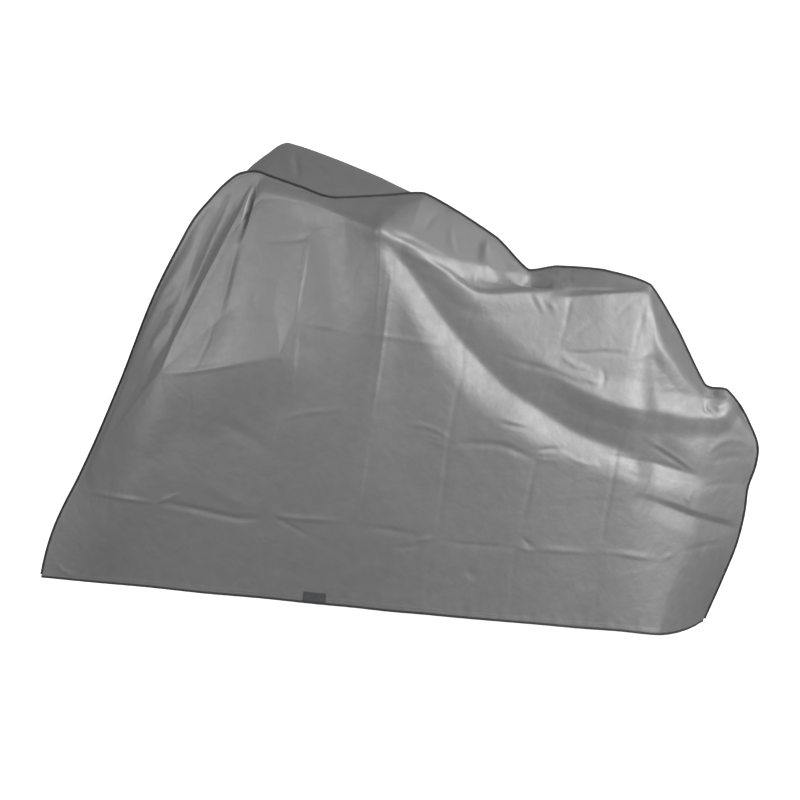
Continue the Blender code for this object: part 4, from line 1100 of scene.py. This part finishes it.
def direction(azimuth, elevation):
    """Unit vector at two angles in radians; azimuth 0 is square to the left side."""
    level = math.cos(elevation)
    return Vector((math.sin(azimuth) * level, -math.cos(azimuth) * level, math.sin(elevation)))


def add_lamp(lamp, watts, aim):
    """A square soft light, aimed at the height `aim` on the cover's middle line."""
    ray = direction(math.radians(lamp.azimuth), math.radians(lamp.elevation))
    data = bpy.data.lights.new(lamp.name, "AREA")
    data.energy = watts
    data.size = lamp.size
    light = bpy.data.objects.new(lamp.name, data)
    light.location = place(np.array((0.0, 0.0, aim)) + LIGHT_DISTANCE * np.array(ray))
    light.rotation_euler = ray.to_track_quat("Z", "Y").to_euler()
    bpy.context.scene.collection.objects.link(light)
    return light


def add_world(strength):
    """Even grey light from all round."""
    world = bpy.data.worlds.new("studio")
    bpy.context.scene.world = world
    world.use_nodes = True
    ambient = world.node_tree.nodes["Background"]
    ambient.inputs["Color"].default_value = (strength, strength, strength, 1.0)
    return world


def add_camera(stage):
    """The camera at the photograph's angle, aimed at the middle of the cover."""
    toward = direction(stage.camera_azimuth, stage.camera_elevation)
    aim = Vector((0.0, 0.0, stage.camera_aim)) - Vector(CARRY_POINT)
    data = bpy.data.cameras.new("camera")
    data.sensor_width = SENSOR_WIDTH
    data.lens = stage.lens
    obj = bpy.data.objects.new("camera", data)
    obj.location = aim + toward * stage.camera_distance
    obj.rotation_euler = (math.pi / 2 - stage.camera_elevation, 0.0, stage.camera_azimuth)
    bpy.context.scene.collection.objects.link(obj)
    bpy.context.scene.camera = obj
    return obj


# Settings


def length(name, description, default, smallest=0.0, largest=10.0):
    return FloatProperty(
        name=name,
        description=description,
        default=default,
        min=smallest,
        max=largest,
        precision=4,
        subtype="DISTANCE",
        unit="LENGTH",
    )


def colour(name, description, default):
    return FloatVectorProperty(
        name=name, description=description, default=default, size=3, min=0.0, max=1.0, subtype="COLOR"
    )


def angle(name, description, degrees):
    return FloatProperty(
        name=name, description=description, default=math.radians(degrees), subtype="ANGLE", unit="ROTATION"
    )


def power(name, description, default):
    return FloatProperty(name=name, description=description, default=default, min=0.0, unit="POWER")


def count(name, description, default):
    return IntProperty(name=name, description=description, default=default, min=20, max=600)


class CoverSizes(bpy.types.PropertyGroup):
    """Sizes of the sewn details and fineness of the sheets."""

    left_columns: count("Left columns", "Faces along the left sheet", 430)
    left_rows: count("Left rows", "Faces down the left sheet", 225)
    right_columns: count("Right columns", "Faces along the right sheet", 400)
    right_rows: count("Right rows", "Faces down the right sheet", 210)
    seam_allowance: length("Seam allowance", "Width sewn flat beside the centre seam", 0.009)
    hem_depth: length("Hem depth", "Width turned up at the hem", 0.012)
    turn_thickness: length("Turn thickness", "Extra thickness where the sheeting is doubled", 0.0008)
    pucker: length("Pucker", "Height of the puckers along the hem's stitches", 0.0004)
    tape_width: length("Tape width", "Thickness of the folded binding", 0.0030)
    tape_height: length("Tape height", "How far the binding stands out from the edge", 0.0045)
    stitch_pitch: length("Stitch pitch", "From one stitch to the next", 0.0048)
    thread_width: length("Thread width", "Thickness of the sewing thread", 0.0007)


class CoverColours(bpy.types.PropertyGroup):
    """Colours of the finishes."""

    sheeting: colour("Sheeting", "Silver-grey coated sheeting", (0.360, 0.360, 0.361))
    tape: colour("Tape", "Dark grey binding", (0.040, 0.041, 0.043))
    thread: colour("Thread", "Grey sewing thread", (0.110, 0.112, 0.115))
    tab: colour("Tab", "Charcoal woven tab", (0.085, 0.087, 0.091))
    floor: colour("Floor", "Pale studio floor", (0.880, 0.880, 0.880))


class CoverStage(bpy.types.PropertyGroup):
    """Camera and lights."""

    camera_elevation: angle("Elevation", "Camera height angle", 15.0)
    camera_azimuth: angle("Azimuth", "Turn towards the rear", 3.0)
    camera_distance: length("Distance", "From the camera to its aim", 4.0, 0.5, 50.0)
    camera_aim: length("Aim height", "Height above the ground that the camera looks at", 0.6)
    lens: FloatProperty(
        name="Lens", description="Focal length in millimetres", default=71.1, min=10.0, max=300.0
    )
    key_power: power("Key", "Main light, low at the rear", 92.0)
    top_power: power("Top", "Light from above", 42.0)
    fill_power: power("Fill", "Front fill light", 48.0)
    rim_power: power("Rim", "Light from behind", 20.0)
    ambient: FloatProperty(name="Ambient", description="Even light from all round", default=0.28, min=0.0)


# Operators


class COVER_OT_side_panels(bpy.types.Operator):
    """Lay the fine surface of both side panels over their solids"""

    bl_idname = "cover.side_panels"
    bl_label = "Side panels"

    def execute(self, context):
        scene = context.scene
        material = sheeting_material(scene.cover_colours)
        for side, neighbour in ((LEFT, "panel_right"), (RIGHT, "left_sheet")):
            sheet = add_sheet(side, scene.cover_sizes, material)
        return {"FINISHED"}


class COVER_OT_bindings(bpy.types.Operator):
    """Fold the tape over the centre seam and round the hem"""

    bl_idname = "cover.bindings"
    bl_label = "Bindings"

    def execute(self, context):
        material = tape_material(context.scene.cover_colours)
        add_seam_tape(context.scene.cover_sizes, material)
        add_hem_tape(context.scene.cover_sizes, material)
        return {"FINISHED"}


class COVER_OT_stitching(bpy.types.Operator):
    """Sew the rows of stitches beside the seam and above the hem"""

    bl_idname = "cover.stitching"
    bl_label = "Stitching"

    def execute(self, context):
        sizes = context.scene.cover_sizes
        thread = thread_material(context.scene.cover_colours)
        for side in (LEFT, RIGHT):
            grid = fine_grid(side, sizes)
            name = SIDE_NAMES[side]
            line, normals = offset_line(grid, side, sizes.hem_depth - HEM_STITCHES_IN, "hem")
            add_stitches(name + "_hem_stitches", line, normals, sizes, thread)
            line, normals = offset_line(grid, side, sizes.seam_allowance - SEAM_STITCHES_IN, "seam")
            kept = slice(SEAM_STITCHES_SKIP, -SEAM_STITCHES_SKIP)
            add_stitches(name + "_seam_stitches", line[kept], normals[kept], sizes, thread)
        return {"FINISHED"}


class COVER_OT_tab(bpy.types.Operator):
    """Sew on the woven tab"""

    bl_idname = "cover.tab"
    bl_label = "Woven tab"

    def execute(self, context):
        add_tab(context.scene.cover_sizes, woven_material(context.scene.cover_colours))
        return {"FINISHED"}


class COVER_OT_stage(bpy.types.Operator):
    """Set up the pale floor, the soft lights and the camera"""

    bl_idname = "cover.stage"
    bl_label = "Stage"

    def execute(self, context):
        stage = context.scene.cover_stage
        add_floor(floor_material(context.scene.cover_colours))
        for lamp in LAMPS:
            add_lamp(lamp, getattr(stage, lamp.name + "_power"), stage.camera_aim)
        add_world(stage.ambient)
        add_camera(stage)
        context.scene.view_settings.view_transform = "Standard"
        return {"FINISHED"}


OPERATORS = (
    COVER_OT_side_panels,
    COVER_OT_bindings,
    COVER_OT_stitching,
    COVER_OT_tab,
    COVER_OT_stage,
)


class COVER_PT_panel(bpy.types.Panel):
    """Sidebar panel that lists the pieces"""

    bl_idname = "COVER_PT_panel"
    bl_label = "Bicycle Cover"
    bl_space_type = "VIEW_3D"
    bl_region_type = "UI"
    bl_category = "Cover"

    def draw(self, context):
        layout = self.layout
        for group in (context.scene.cover_sizes, context.scene.cover_colours, context.scene.cover_stage):
            box = layout.box()
            for name in group.__annotations__:
                box.prop(group, name)
        for operator in OPERATORS:
            layout.operator(operator.bl_idname)


CLASSES = (CoverSizes, CoverColours, CoverStage, *OPERATORS, COVER_PT_panel)


def register():
    for cls in CLASSES:
        bpy.utils.register_class(cls)
    bpy.types.Scene.cover_sizes = PointerProperty(type=CoverSizes)
    bpy.types.Scene.cover_colours = PointerProperty(type=CoverColours)
    bpy.types.Scene.cover_stage = PointerProperty(type=CoverStage)


def unregister():
    del bpy.types.Scene.cover_stage
    del bpy.types.Scene.cover_colours
    del bpy.types.Scene.cover_sizes
    for cls in reversed(CLASSES):
        bpy.utils.unregister_class(cls)


def main():
    register()
    bpy.ops.cover.side_panels()
    bpy.ops.cover.bindings()
    bpy.ops.cover.stitching()
    bpy.ops.cover.tab()
    bpy.ops.cover.stage()


if __name__ == "__main__":
    main()
